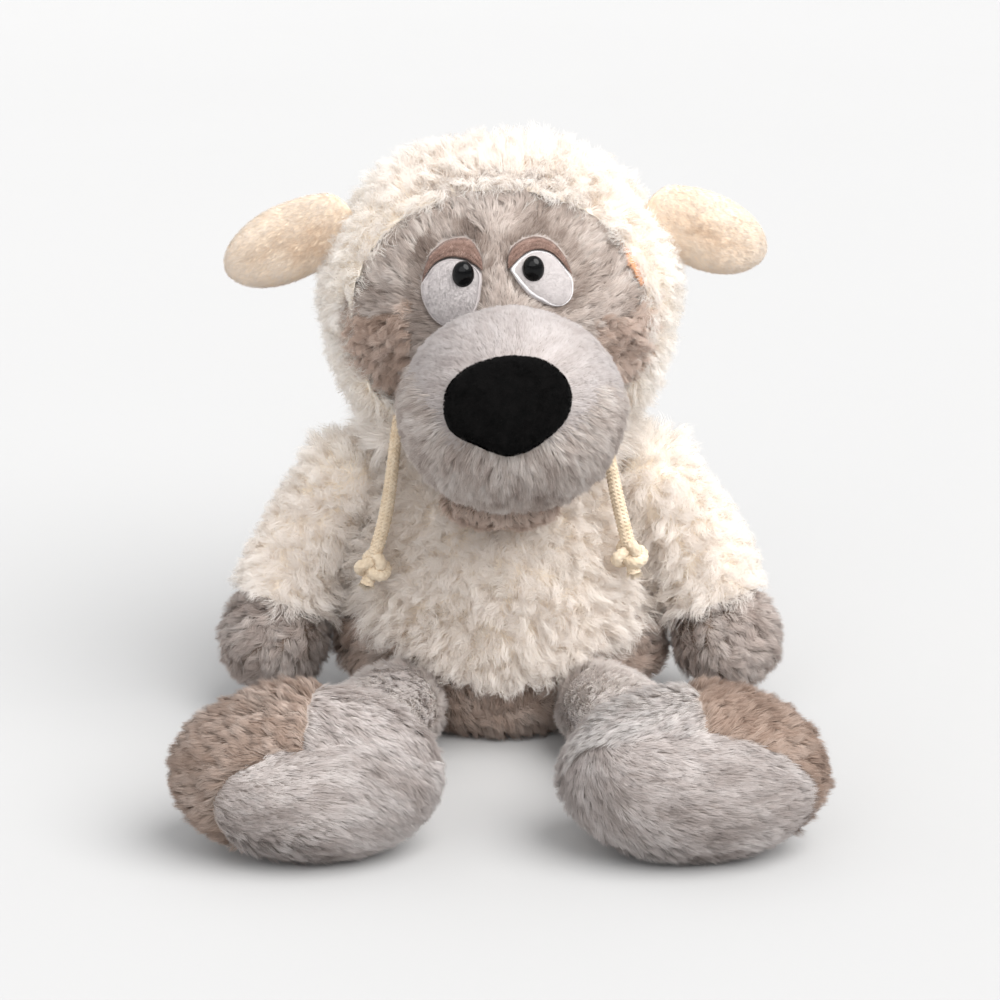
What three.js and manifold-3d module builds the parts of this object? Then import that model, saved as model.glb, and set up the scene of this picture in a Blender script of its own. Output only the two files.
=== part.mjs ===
// Seated plush wolf in a hooded long-pile pullover, in millimetres, +Z up.
// The origin is the middle of the flat seat, on the surface that the toy sits on.
// The toy faces -Y; its own left is +X. Every pile fabric is drawn at about half the
// height of its pile, so the hairs stand a few millimetres proud of these solids.
import * as THREE from 'three';
import { mergeVertices } from 'three/addons/utils/BufferGeometryUtils.js';
import Module from 'manifold-3d';

const wasm = await Module();
wasm.setup();

// ---------------------------------------------------------------- driving dimensions
const GAP = 0.4;                 // between a skin and what it touches
const SKIN = 1.5;                // plush backing with the foot of its pile
const WOOL = 3.0;                // long-pile cream fabric

// torso, turned about Z: [z, radius]
const TORSO = [[0, 34], [4, 43], [14, 49.0], [32, 51.2], [52, 52.2], [74, 50.0],
  [90, 45.0], [106, 37.4], [117, 28.5], [124, 12]];
const PELLET_TOP = 24;           // the pellet bag fills the seat up to here
const JACKET = [[30, 56], [46, 58], [62, 57.6], [78, 55.6], [94, 51.4], [110, 46.6], [124.5, 43.5]];
const CHEST_FLAT = 0.12;         // the front is this much shallower at the neckline
const HEM = [[0, 27], [20, 32], [40, 42], [64, 41], [90, 36], [130, 30], [180, 27]]; // [degrees from the front, z]
const NECK = { at: [0, 0, 126], r: 16 };

// head and hood
const HEAD = { at: [0, -2, 181], r: [60, 55, 51] };
const HOOD = { at: [0, 4, 182], r: [71, 62, 57.5], low: 53.5, power: 4 }; // fuller below its middle
const HOOD_RIM_Y = -30;          // plane of the hood's front edge
const HOOD_NECK_R = 27;          // neck opening of hood and lining
const FACE_SEAM_Y = -20;         // seam between face and back of head
const CHEEK = { x: 36, z: 178 }; // a cheek patch lies outside x and below z
const MUZZLE = { at: [4.6, -74, 153.2], r: [43.5, 41, 38.3] };
const MUZZLE_SEAM_Z = 148;
const CHIN = { at: [2.6, -66.5, 111.0], r: [27, 14.5, 10.5] };
const NOSE = { at: [3.2, -114.6, 168.2], w: 47, h: 37, tilt: 24 };
const EYE = [
  { side: 'right', at: [-18.6, -50.5, 195.8], r: [13.4, 6.0, 14.6], pupil: [-14.3, 201.8], lid: 24 },
  { side: 'left', at: [16.8, -50.5, 197.8], r: [12.8, 6.0, 14.6], pupil: [12.8, 203.8], lid: -24 },
];
const PUPIL = { rx: 4.25, rz: 5.3, h: 3.6, shank: 1.4 };
const EARS = [
  { side: 'right', root: [-63.6, 0, 213.0], tip: [-111, -8, 194.5] },
  { side: 'left', root: [63.0, 0, 215.6], tip: [107.5, -4, 200.5] },
];
const EAR = { h: 15.2, t: 7.2 };

// drawstring ends: the cord leaves the hood's lower front edge beside the muzzle
const CORD_D = 5.0;
const CORDS = [
  { side: 'right', path: [[-40.5, -30.6, 137], [-40.9, -34.6, 136.2], [-41.3, -37.9, 134], [-41.8, -40.2, 130.6], [-42.3, -41.2, 126.4], [-43.8, -42.3, 114], [-46.4, -43.6, 98], [-50.4, -45.4, 83.5]], knot: [-51.6, -46, 76.6] },
  { side: 'left', path: [[40.5, -30.6, 137], [41.1, -34.6, 136.2], [41.8, -37.9, 134], [42.6, -40.2, 130.6], [43.4, -41.2, 126.4], [45.4, -42.3, 115], [48.2, -43.4, 102], [51.6, -45.2, 88.5]], knot: [52.6, -45.8, 81.4] },
];
const KNOT = { r: 4.6, h: 5.4 };

// limbs (x of the left one; the right one is mirrored)
const SHOULDER = [62.5, 0, 98];
const ARM_PATH = [[62.5, 0, 98], [81.5, -4, 72], [90.5, -9, 50], [95.5, -14.5, 33.5]];
const SLEEVE = { r: 18.5, cuff: 19.6, len: 57 };
const ARM_R = 14.2;
const HIP = [42.5, -56.5, 19.6];
const ANKLE_END = [64.0, -102.2, 21.5];
const LEG_R = 18.5;
const FOOT = { at: [72.2, -149.5, 33], r: [49, 27, 33.5], soleY: -156, splitX: 70 };
const TAIL_PATH = [[0, 60, 14], [8, 67, 13.4], [20, 72, 12.8], [34, 75, 12.4]];

// ---------------------------------------------------------------- shapes
function solidOf(geometry) {
  const g = geometry.clone();
  g.deleteAttribute('normal');
  g.deleteAttribute('uv');
  const m = mergeVertices(g, 1e-4);
  const v = new Float32Array(m.attributes.position.array);
  const raw = Array.from(m.index.array);
  const t = [];
  let volume = 0;
  for (let i = 0; i < raw.length; i += 3) {
    const [a, b, c] = [raw[i], raw[i + 1], raw[i + 2]];
    if (a === b || b === c || c === a) continue;
    t.push(a, b, c);
    const [ax, ay, az] = [v[3 * a], v[3 * a + 1], v[3 * a + 2]];
    const [bx, by, bz] = [v[3 * b], v[3 * b + 1], v[3 * b + 2]];
    const [cx, cy, cz] = [v[3 * c], v[3 * c + 1], v[3 * c + 2]];
    volume += ax * (by * cz - bz * cy) + ay * (bz * cx - bx * cz) + az * (bx * cy - by * cx);
  }
  // a profile may be listed either way round: its faces are turned outward here
  if (volume < 0) for (let i = 0; i < t.length; i += 3) [t[i + 1], t[i + 2]] = [t[i + 2], t[i + 1]];
  return new wasm.Manifold(new wasm.Mesh({ numProp: 3, vertProperties: v, triVerts: new Uint32Array(t) }));
}

function geometryOf(solid, shift) {
  const mesh = solid.getMesh();
  const pos = new Float32Array(mesh.vertProperties.length / mesh.numProp * 3);
  for (let i = 0; i < pos.length / 3; i++) {
    for (let k = 0; k < 3; k++) pos[3 * i + k] = mesh.vertProperties[i * mesh.numProp + k] - shift[k];
  }
  const g = new THREE.BufferGeometry();
  g.setAttribute('position', new THREE.BufferAttribute(pos, 3));
  g.setIndex(new THREE.BufferAttribute(new Uint32Array(mesh.triVerts), 1));
  g.computeVertexNormals();
  return g;
}

// ellipsoid with its poles on Z
function ellipsoid(at, r, grow = 0, nu = 14, nv = 8, matrix = null) {
  const g = new THREE.SphereGeometry(1, nu, nv);
  g.rotateX(Math.PI / 2);
  g.scale(r[0] + grow, r[1] + grow, r[2] + grow);
  if (matrix) g.applyMatrix4(matrix);
  g.translate(at[0], at[1], at[2]);
  return solidOf(g);
}

// the hood's outline: an ellipsoid above its middle, fuller and flatter below it
function hoodBag(grow) {
  const g = new THREE.SphereGeometry(1, 16, 9);
  g.rotateX(Math.PI / 2);
  const p = g.attributes.position;
  for (let i = 0; i < p.count; i++) {
    const z = p.getZ(i), r0 = Math.hypot(p.getX(i), p.getY(i));
    let k = 1;
    if (z < 0 && r0 > 1e-6) k = (1 - Math.min(1, Math.abs(z)) ** HOOD.power) ** (1 / HOOD.power) / r0;
    p.setXYZ(i, p.getX(i) * k * (HOOD.r[0] + grow), p.getY(i) * k * (HOOD.r[1] + grow), z * ((z < 0 ? HOOD.low : HOOD.r[2]) + grow));
  }
  g.translate(HOOD.at[0], HOOD.at[1], HOOD.at[2]);
  return solidOf(g);
}

function block(x0, x1, y0, y1, z0, z1) {
  const g = new THREE.BoxGeometry(x1 - x0, y1 - y0, z1 - z0);
  g.translate((x0 + x1) / 2, (y0 + y1) / 2, (z0 + z1) / 2);
  return solidOf(g);
}

// body turned about Z from a list of [z, radius], closed on the axis at both ends
function turned(profile, grow = 0, seg = 18) {
  const pts = [];
  const zLow = profile[0][0] - (grow < 0 ? grow : 0);
  const zHigh = profile[profile.length - 1][0] + (grow < 0 ? grow : 0);
  pts.push(new THREE.Vector2(0, zLow));
  for (const [z, r] of profile) pts.push(new THREE.Vector2(r + grow, Math.min(Math.max(z, zLow), zHigh)));
  pts.push(new THREE.Vector2(0, zHigh));
  const clean = pts.filter((p, i) => i === 0 || p.distanceTo(pts[i - 1]) > 1e-3);
  const g = new THREE.LatheGeometry(clean, seg);
  g.rotateX(Math.PI / 2);
  return solidOf(g);
}

// value of a [degrees, z] table at an angle, eased between its rows
function hemAt(deg) {
  for (let i = 1; i < HEM.length; i++) {
    if (deg <= HEM[i][0]) {
      const t = THREE.MathUtils.smoothstep(deg, HEM[i - 1][0], HEM[i][0]);
      return HEM[i - 1][1] + t * (HEM[i][1] - HEM[i - 1][1]);
    }
  }
  return HEM[HEM.length - 1][1];
}

// the pullover's body: a turned tube whose lower edge follows the hem line
function jacketTube() {
  const out = JACKET.map(([z, r]) => new THREE.Vector2(r, z));
  const inn = JACKET.map(([z, r]) => new THREE.Vector2(r - WOOL, z)).reverse();
  const pts = [...out, ...inn, out[0].clone()];
  const g = new THREE.LatheGeometry(pts, 24);
  g.rotateX(Math.PI / 2);
  const p = g.attributes.position;
  const low = JACKET[0][0];
  for (let i = 0; i < p.count; i++) {
    const x = p.getX(i), y = p.getY(i), z = p.getZ(i);
    const deg = Math.abs(THREE.MathUtils.radToDeg(Math.atan2(x, -y)));
    const w = THREE.MathUtils.clamp(1 - (z - low) / 48, 0, 1);
    p.setZ(i, z + w * w * (hemAt(deg) - low));
    if (y < 0) p.setY(i, y * (1 - CHEST_FLAT * THREE.MathUtils.smoothstep(z, 78, 118)));
  }
  return solidOf(g);
}

// a lathe profile of [s, radius] carried along a curve; s is the distance along it, and
// runs straight on past either end. closed = true: the profile is a cup and returns to the axis
function alongCurve(points, profile, seg = 18) {
  const curve = new THREE.CatmullRomCurve3(points.map((p) => new THREE.Vector3(...p)), false, 'centripetal');
  const L = curve.getLength();
  const g = new THREE.LatheGeometry(profile.map(([s, r]) => new THREE.Vector2(Math.max(r, 0), s)), seg);
  const p = g.attributes.position;
  const ref = new THREE.Vector3(0, 1, 0);
  const t0 = curve.getTangentAt(0), t1 = curve.getTangentAt(1);
  for (let i = 0; i < p.count; i++) {
    const s = p.getY(i);
    const u = THREE.MathUtils.clamp(s / L, 0, 1);
    const at = curve.getPointAt(u);
    const tan = s < 0 ? t0 : s > L ? t1 : curve.getTangentAt(u);
    if (s < 0) at.addScaledVector(t0, s);
    if (s > L) at.addScaledVector(t1, s - L);
    const a = new THREE.Vector3().crossVectors(ref, tan).normalize();
    const b = new THREE.Vector3().crossVectors(tan, a);
    // the lathe's X, Y, Z become b, tangent, a: a right-handed set, so faces stay outward
    at.addScaledVector(a, p.getZ(i)).addScaledVector(b, p.getX(i));
    p.setXYZ(i, at.x, at.y, at.z);
  }
  return solidOf(g);
}

const mirrorX = (pts) => pts.map(([x, y, z]) => [-x, y, z]);
const flip = ([x, y, z]) => [-x, y, z];

// half circle of profile points round an end ball, from its pole to its equator
function cap(s, r, from, to, n = 5) {
  const out = [];
  for (let i = 0; i <= n; i++) {
    const a = THREE.MathUtils.degToRad(from + (to - from) * i / n);
    out.push([s + r * Math.sin(a), r * Math.cos(a)]);
  }
  return out;
}

// ---------------------------------------------------------------- scene graph
const material = (color, roughness = 0.95, metalness = 0) => new THREE.MeshStandardMaterial({ color, roughness, metalness });
const M = {
  grey: material(0xa59890), light: material(0xb8aeaa), brown: material(0x93806f), taupe: material(0xbfb2ad),
  streak: material(0x9c918c), cream: material(0xefe9df, 1), peach: material(0xf0dcc6), lining: material(0xd9a77f),
  white: material(0xf3f1f2, 0.85), lid: material(0x8c7467, 0.9), velvet: material(0x0b0b0b, 0.9),
  plastic: material(0x050505, 0.08), washer: material(0xdedede, 0.5), fibre: material(0xf2f2ef, 1),
  pellets: material(0xd8d4c8, 0.7), cord: material(0xd9c7ab, 0.9),
};

const wolf = new THREE.Group();
function pivotGroup(parent, at) {
  const group = new THREE.Group();
  const base = parent.userData.at || [0, 0, 0];
  group.position.set(at[0] - base[0], at[1] - base[1], at[2] - base[2]);
  group.userData.at = at;
  parent.add(group);
  return group;
}
function add(group, name, solid, mat) {
  const mesh = new THREE.Mesh(geometryOf(solid, group.userData.at || [0, 0, 0]), mat);
  mesh.name = name;
  group.add(mesh);
}

const torso = pivotGroup(wolf, [0, 0, 0]);
const neck = pivotGroup(torso, NECK.at);
const head = pivotGroup(neck, NECK.at);

// ---------------------------------------------------------------- torso
const neckRoom = ellipsoid(NECK.at, [NECK.r, NECK.r, NECK.r], 0.6, 12, 8);
{
  const outer = turned(TORSO);
  const inner = turned(TORSO, -SKIN);
  const core = turned(TORSO, -SKIN - GAP);
  const skin = outer.subtract(inner).subtract(neckRoom);
  const seatLine = 4;
  const above = block(-90, 90, -90, 90, seatLine + 0.2, 200);
  add(torso, 'torso_front_panel', skin.intersect(above).intersect(block(-90, 90, -90, -0.2, -10, 200)), M.grey);
  add(torso, 'torso_back_panel', skin.intersect(above).intersect(block(-90, 90, 0.2, 90, -10, 200)), M.grey);
  add(torso, 'seat_panel', skin.intersect(block(-90, 90, -90, 90, -10, seatLine - 0.2)), M.grey);
  add(torso, 'pellet_bag', core.intersect(block(-90, 90, -90, 90, -10, PELLET_TOP)), M.pellets);
  add(torso, 'torso_stuffing', core.intersect(block(-90, 90, -90, 90, PELLET_TOP + GAP, 200)).subtract(neckRoom), M.fibre);

  let jacket = jacketTube();
  for (const s of [1, -1]) {
    const room = SLEEVE.r + 1.2;
    jacket = jacket.subtract(alongCurve(s > 0 ? ARM_PATH : mirrorX(ARM_PATH), [...cap(0, room, -90, 0, 4), [40, room], [40, 0]], 14));
  }
  add(torso, 'jacket_front_panel', jacket.intersect(block(-90, 90, -90, -0.2, -10, 200)), M.cream);
  add(torso, 'jacket_back_panel', jacket.intersect(block(-90, 90, 0.2, 90, -10, 200)), M.cream);
}
add(neck, 'neck_stuffing', ellipsoid(NECK.at, [NECK.r, NECK.r, NECK.r], 0, 12, 8), M.fibre);

// ---------------------------------------------------------------- head
const headOuter = ellipsoid(HEAD.at, HEAD.r);
const headRoom = ellipsoid(HEAD.at, HEAD.r, GAP + 0.1);
const headCore = ellipsoid(HEAD.at, HEAD.r, -SKIN - GAP);
const muzzleOuter = ellipsoid(MUZZLE.at, MUZZLE.r);
const muzzleRoom = ellipsoid(MUZZLE.at, MUZZLE.r, GAP);
{
  const skin = headOuter.subtract(ellipsoid(HEAD.at, HEAD.r, -SKIN)).subtract(neckRoom);
  let front = skin.intersect(block(-90, 90, -90, FACE_SEAM_Y - 0.2, 100, 260));
  for (const s of [1, -1]) {
    const x0 = CHEEK.x, far = 90;
    const cut = s > 0 ? block(x0 - 0.2, far, -90, 90, 100, CHEEK.z + 0.2) : block(-far, -x0 + 0.2, -90, 90, 100, CHEEK.z + 0.2);
    const keep = s > 0 ? block(x0 + 0.2, far, -90, 90, 100, CHEEK.z - 0.2) : block(-far, -x0 - 0.2, -90, 90, 100, CHEEK.z - 0.2);
    add(head, s > 0 ? 'cheek_patch_left' : 'cheek_patch_right', front.intersect(keep), M.brown);
    front = front.subtract(cut);
  }
  let core = headCore.subtract(neckRoom);
  for (const e of EYE) {
    const [px, pz] = e.pupil;
    const rod = (r, y0, y1, n = 10) => {
      const g = new THREE.CylinderGeometry(r, r, y1 - y0, n);
      g.translate(px, (y0 + y1) / 2, pz);
      return solidOf(g);
    };
    const patchShape = ellipsoid(e.at, e.r, 0, 14, 6);
    // the foremost point of the white patch under the pupil's oval footprint
    let surface = 0;
    for (let i = 0; i < 13; i++) {
      const k = i === 12 ? 0 : 1, a = i / 12 * 2 * Math.PI;
      const x = px + k * PUPIL.rx * Math.cos(a), z = pz + k * PUPIL.rz * Math.sin(a);
      const q = 1 - ((x - e.at[0]) / e.r[0]) ** 2 - ((z - e.at[2]) / e.r[2]) ** 2;
      surface = Math.min(surface, e.at[1] - e.r[1] * Math.sqrt(Math.max(0, q)));
    }
    // white patch, padded, with the safety eye's shank through it
    add(head, `eye_white_${e.side}`, patchShape.subtract(headRoom).subtract(muzzleRoom).subtract(rod(PUPIL.shank + 0.6, -70, -40)), M.white);
    // eyelid: the upper part of a slightly larger oval, cut off on a slant
    const lidCut = new THREE.BoxGeometry(60, 40, 30);
    lidCut.translate(0, 0, 15);
    lidCut.rotateY(THREE.MathUtils.degToRad(e.lid));
    lidCut.translate(e.at[0], e.at[1], e.at[2] + 5.2);
    const lid = ellipsoid([e.at[0], e.at[1], e.at[2] + 0.6], e.r, 2.0, 14, 6).intersect(solidOf(lidCut))
      .subtract(ellipsoid(e.at, e.r, 0.5, 14, 6)).subtract(headRoom).subtract(muzzleRoom)
      .subtract((() => { const g = new THREE.CylinderGeometry(PUPIL.rz + 1.2, PUPIL.rz + 1.2, 30, 12); g.translate(px, -60, pz); return solidOf(g); })());
    const parts = lid.decompose().sort((a, b) => b.volume() - a.volume());
    add(head, `eyelid_${e.side}`, parts[0], M.lid);
    // safety eye: an oval dome with its shank, in one piece
    const back = surface - 0.3;
    const dome = [new THREE.Vector2(0, back - PUPIL.h)];
    for (let i = 1; i <= 4; i++) {
      const a = i / 4 * Math.PI / 2;
      dome.push(new THREE.Vector2(PUPIL.rx * Math.sin(a), back - 0.6 - (PUPIL.h - 0.6) * Math.cos(a)));
    }
    dome.push(new THREE.Vector2(PUPIL.rx, back), new THREE.Vector2(PUPIL.shank, back), new THREE.Vector2(PUPIL.shank, -42.8), new THREE.Vector2(0, -42.8));
    const pg = new THREE.LatheGeometry(dome, 14);
    const pp = pg.attributes.position;
    for (let i = 0; i < pp.count; i++) if (Math.hypot(pp.getX(i), pp.getZ(i)) > PUPIL.shank + 0.1 || pp.getY(i) < back - 0.1) pp.setZ(i, pp.getZ(i) * PUPIL.rz / PUPIL.rx);
    pg.translate(px, 0, pz);
    add(head, `pupil_${e.side}`, solidOf(pg), M.plastic);
    // lock washer on the shank, behind the face
    const ring = [[PUPIL.shank + 0.4, -44.8], [4.6, -44.8], [4.6, -43.8], [PUPIL.shank + 0.4, -43.8], [PUPIL.shank + 0.4, -44.8]].map(([r, y]) => new THREE.Vector2(r, y));
    const wg = new THREE.LatheGeometry(ring, 12);
    wg.translate(px, 0, pz);
    let washer = solidOf(wg);
    washer = washer.intersect(ellipsoid(HEAD.at, HEAD.r, -SKIN - 0.3));
    add(head, `eye_washer_${e.side}`, washer, M.washer);
    front = front.subtract(rod(PUPIL.shank + 0.6, -70, -40));
    core = core.subtract(rod(5.6, -70, -42.2, 12));
  }
  add(head, 'face_panel', front, M.grey);
  add(head, 'head_back_panel', skin.intersect(block(-90, 90, FACE_SEAM_Y + 0.2, 90, 100, 260)), M.grey);
  add(head, 'head_stuffing', core, M.fibre);

  const mskin = muzzleOuter.subtract(ellipsoid(MUZZLE.at, MUZZLE.r, -SKIN)).subtract(headRoom);
  add(head, 'muzzle_upper_panel', mskin.intersect(block(-90, 90, -200, 0, MUZZLE_SEAM_Z + 0.2, 260)), M.taupe);
  add(head, 'muzzle_lower_panel', mskin.intersect(block(-90, 90, -200, 0, 60, MUZZLE_SEAM_Z - 0.2)), M.streak);
  add(head, 'muzzle_stuffing', ellipsoid(MUZZLE.at, MUZZLE.r, -SKIN - GAP).subtract(headRoom), M.fibre);
  add(head, 'chin_patch', ellipsoid(CHIN.at, CHIN.r, 0, 12, 6).subtract(muzzleRoom).subtract(headRoom), M.brown);

  // nose: a padded rounded triangle, flat edge up
  const s = new THREE.Shape();
  const w = NOSE.w / 2 - 3, h = NOSE.h - 6;
  s.moveTo(-w * 0.62, h * 0.5);
  s.quadraticCurveTo(0, h * 0.58, w * 0.62, h * 0.5);
  s.bezierCurveTo(w * 1.02, h * 0.46, w * 1.12, h * 0.12, w * 0.92, -h * 0.06);
  s.bezierCurveTo(w * 0.74, -h * 0.28, w * 0.36, -h * 0.52, 0, -h * 0.52);
  s.bezierCurveTo(-w * 0.36, -h * 0.52, -w * 0.74, -h * 0.28, -w * 0.92, -h * 0.06);
  s.bezierCurveTo(-w * 1.12, h * 0.12, -w * 1.02, h * 0.46, -w * 0.62, h * 0.5);
  const ng = new THREE.ExtrudeGeometry(s, { depth: 9, curveSegments: 4, bevelEnabled: true, bevelThickness: 3, bevelSize: 3, bevelSegments: 1, steps: 1 });
  ng.translate(0, 0, -9);
  ng.rotateX(Math.PI / 2);                                   // the face of the shape now looks along -Y
  ng.rotateX(-THREE.MathUtils.degToRad(NOSE.tilt));
  ng.translate(NOSE.at[0], NOSE.at[1], NOSE.at[2]);
  add(head, 'nose_pad', solidOf(ng).subtract(muzzleRoom), M.velvet);
}

// hood and its lining: open at the front and round the neck
{
  const neckHoleG = new THREE.CylinderGeometry(HOOD_NECK_R, HOOD_NECK_R, 60, 16);
  neckHoleG.rotateX(Math.PI / 2);
  neckHoleG.translate(0, 0, 122);
  const neckHole = solidOf(neckHoleG);
  const behind = block(-90, 90, HOOD_RIM_Y, 90, 100, 260);
  let shell = hoodBag(0).subtract(hoodBag(-WOOL)).intersect(behind).subtract(neckHole).subtract(headRoom);
  // the drawstring's exit on each side, wide enough for the cord to swing in it
  for (const c of CORDS) shell = shell.subtract(ellipsoid(c.path[0], [3.5, 3.5, 3.5], 0, 12, 8));
  add(head, 'hood_left_panel', shell.intersect(block(0.2, 90, -90, 90, 100, 260)), M.cream);
  add(head, 'hood_right_panel', shell.intersect(block(-90, -0.2, -90, 90, 100, 260)), M.cream);
  const lining = hoodBag(-WOOL - GAP).subtract(hoodBag(-WOOL - GAP - 1.2)).intersect(behind).subtract(neckHole);
  add(head, 'hood_lining', lining.subtract(headRoom), M.lining);
}

// sheep's ears: front and back panel with batting between them
for (const e of EARS) {
  const group = pivotGroup(head, e.root);
  const root = new THREE.Vector3(...e.root), tip = new THREE.Vector3(...e.tip);
  const len = root.distanceTo(tip) / 2;
  const xAxis = tip.clone().sub(root).normalize();
  const zAxis = new THREE.Vector3(0, 0, 1).addScaledVector(xAxis, -xAxis.z).normalize();
  const yAxis = new THREE.Vector3().crossVectors(zAxis, xAxis);
  const turn = new THREE.Matrix4().makeBasis(xAxis, yAxis, zAxis);
  const mid = root.clone().add(tip).multiplyScalar(0.5).toArray();
  const r = [len, EAR.t, EAR.h];
  const skin = ellipsoid(mid, r, 0, 12, 6, turn).subtract(ellipsoid(mid, r, -1.6, 12, 6, turn));
  const half = (s) => {
    const g = new THREE.BoxGeometry(90, 30, 60);
    g.translate(0, s * 15.2, 0);
    g.applyMatrix4(turn);
    g.translate(mid[0], mid[1], mid[2]);
    return solidOf(g);
  };
  const frontSign = yAxis.y < 0 ? 1 : -1;
  add(group, `sheep_ear_${e.side}_front`, skin.intersect(half(frontSign)), M.peach);
  add(group, `sheep_ear_${e.side}_back`, skin.intersect(half(-frontSign)), M.peach);
  add(group, `sheep_ear_${e.side}_batting`, ellipsoid(mid, r, -2.0, 12, 6, turn), M.fibre);
}

// drawstring ends with their knots
for (const c of CORDS) {
  const group = pivotGroup(head, c.path[0]);
  const curve = new THREE.CatmullRomCurve3(c.path.map((p) => new THREE.Vector3(...p)), false, 'centripetal');
  const ringShape = new THREE.Shape();
  for (let i = 0; i < 8; i++) {
    const a = i / 8 * 2 * Math.PI;
    if (i === 0) ringShape.moveTo(CORD_D / 2, 0);
    else ringShape.lineTo(CORD_D / 2 * Math.cos(a), CORD_D / 2 * Math.sin(a));
  }
  const g = new THREE.ExtrudeGeometry(ringShape, { steps: 9, bevelEnabled: false, extrudePath: curve });
  add(group, `drawstring_${c.side}`, solidOf(g), M.cord);
  // the knot: a fat turned body in line with the cord's end, and the short tail under it
  const end = new THREE.Vector3(...c.path[c.path.length - 1]);
  const dir = new THREE.Vector3(...c.knot).sub(end).normalize();
  const a0 = end.clone().addScaledVector(dir, 0.5);
  const prof = [[0, 0], [0, 2.4], [1.6, 4.0], [4.4, KNOT.r], [7.2, 4.2], [9.2, 2.8], [12.5, 3.4], [16.0, 3.6], [16.0, 0]];
  add(group, `drawstring_${c.side}_knot`, alongCurve([a0.toArray(), a0.clone().addScaledVector(dir, 16).toArray()], prof, 8), M.cord);
}

// ---------------------------------------------------------------- arms
for (const side of ['left', 'right']) {
  const s = side === 'left' ? 1 : -1;
  const path = s > 0 ? ARM_PATH : mirrorX(ARM_PATH);
  const group = pivotGroup(torso, s > 0 ? SHOULDER : flip(SHOULDER));
  const R = SLEEVE.r, Ri = SLEEVE.r - WOOL;
  // sleeve: a cup, round at the shoulder and open at the cuff
  const sleeve = [...cap(0, R, -90, 0, 3), [28, R + 0.2], [SLEEVE.len, SLEEVE.cuff],
    [SLEEVE.len, SLEEVE.cuff - WOOL], [28, Ri + 0.1], ...cap(0, Ri, 0, -90, 3)];
  add(group, `sleeve_${side}`, alongCurve(path, sleeve, 12), M.cream);
  // arm with its paw: a cup, open at the shoulder inside the sleeve
  const k = SKIN;
  const armOut = [[-6, ARM_R - 1.6], [0, ARM_R], [28, ARM_R], [57, ARM_R + 0.3], [62, 18.0], [71, 20.6], [80, 19.6], [88, 14.6], [93.5, 0]];
  const armIn = armOut.map(([t, r]) => [t > 85 ? t - k : t, Math.max(r - k, 0)]);
  armIn[armIn.length - 1] = [93.5 - k, 0];
  const skin = [...armOut.slice().reverse(), ...armIn.map(([t, r]) => [t, r])];
  add(group, `arm_${side}_skin`, alongCurve(path, skin, 12), M.grey);
  const core = [[-5, 0], ...armOut.slice(0, -1).map(([t, r]) => [Math.min(t > 85 ? t - k - 0.4 : Math.max(t, -5), 91), Math.max(r - k - GAP, 0.5)]), [93.5 - k - 0.5, 0]];
  add(group, `arm_${side}_stuffing`, alongCurve(path, core, 12), M.fibre);
}

// ---------------------------------------------------------------- legs and feet
for (const side of ['left', 'right']) {
  const s = side === 'left' ? 1 : -1;
  const m = (p) => (s > 0 ? p : flip(p));
  const hip = m(HIP), end = m(ANKLE_END);
  const L = new THREE.Vector3(...hip).distanceTo(new THREE.Vector3(...end));
  const group = pivotGroup(torso, hip);
  const R = LEG_R, Ri = R - SKIN;
  const skin = [...cap(L, R, 90, 0, 4), ...cap(0, R, 0, -60, 3), ...cap(0, Ri, -60, 0, 3), ...cap(L, Ri, 0, 90, 4)];
  add(group, `leg_${side}_skin`, alongCurve([hip, end], skin, 10), M.light);
  const Rc = Ri - GAP;
  add(group, `leg_${side}_stuffing`, alongCurve([hip, end], [...cap(0, Rc, -90, 0, 4), ...cap(L, Rc, 0, 90, 4)], 10), M.fibre);

  const at = m(FOOT.at);
  const ankle = m([65, -122.4, 22]);
  const foot = pivotGroup(group, ankle);
  const onFloor = block(-200, 200, -260, 0, 0, 120);
  const onFloorIn = block(-200, 200, -260, 0, SKIN, 120);
  const onFloorCore = block(-200, 200, -260, 0, SKIN + GAP, 120);
  const outer = ellipsoid(at, FOOT.r, 0, 14, 9).intersect(onFloor);
  const inner = ellipsoid(at, FOOT.r, -SKIN, 14, 9).intersect(onFloorIn);
  const shell = outer.subtract(inner);
  add(foot, `foot_${side}_sole`, shell.intersect(block(-200, 200, -260, FOOT.soleY - 0.2, -10, 120)), M.taupe);
  const upper = shell.intersect(block(-200, 200, FOOT.soleY + 0.2, 0, -10, 120));
  const x = FOOT.splitX;
  const outside = s > 0 ? block(x + 0.2, 200, -260, 0, -10, 120) : block(-200, -x - 0.2, -260, 0, -10, 120);
  const inside = s > 0 ? block(-20, x - 0.2, -260, 0, -10, 120) : block(-x + 0.2, 20, -260, 0, -10, 120);
  add(foot, `foot_${side}_outer_panel`, upper.intersect(outside), M.brown);
  add(foot, `foot_${side}_instep_panel`, upper.intersect(inside), M.light);
  add(foot, `foot_${side}_stuffing`, ellipsoid(at, FOOT.r, -SKIN - GAP, 14, 9).intersect(onFloorCore), M.fibre);
}

// ---------------------------------------------------------------- tail
{
  const group = pivotGroup(torso, [0, 52, 14]);
  const out = [[-6, 5], [-2, 8], [6, 10], [16, 11.4], [28, 11.2], [36, 8.6], [41, 4.4], [43.5, 0]];
  const inn = out.map(([t, r]) => [t > 34 ? t - SKIN : t, Math.max(r - SKIN, 0)]);
  inn[inn.length - 1] = [43.5 - SKIN, 0];
  add(group, 'tail_skin', alongCurve(TAIL_PATH, [...out.slice().reverse(), ...inn], 10), M.grey);
  add(group, 'tail_stuffing', alongCurve(TAIL_PATH, [[-5.5, 0], ...inn.slice(0, -1).map(([t, r]) => [Math.max(t - 0.3, -5.5), Math.max(r - GAP, 0.5)]), [43.5 - SKIN - 0.6, 0]], 10), M.fibre);
}

export default wolf;
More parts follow.
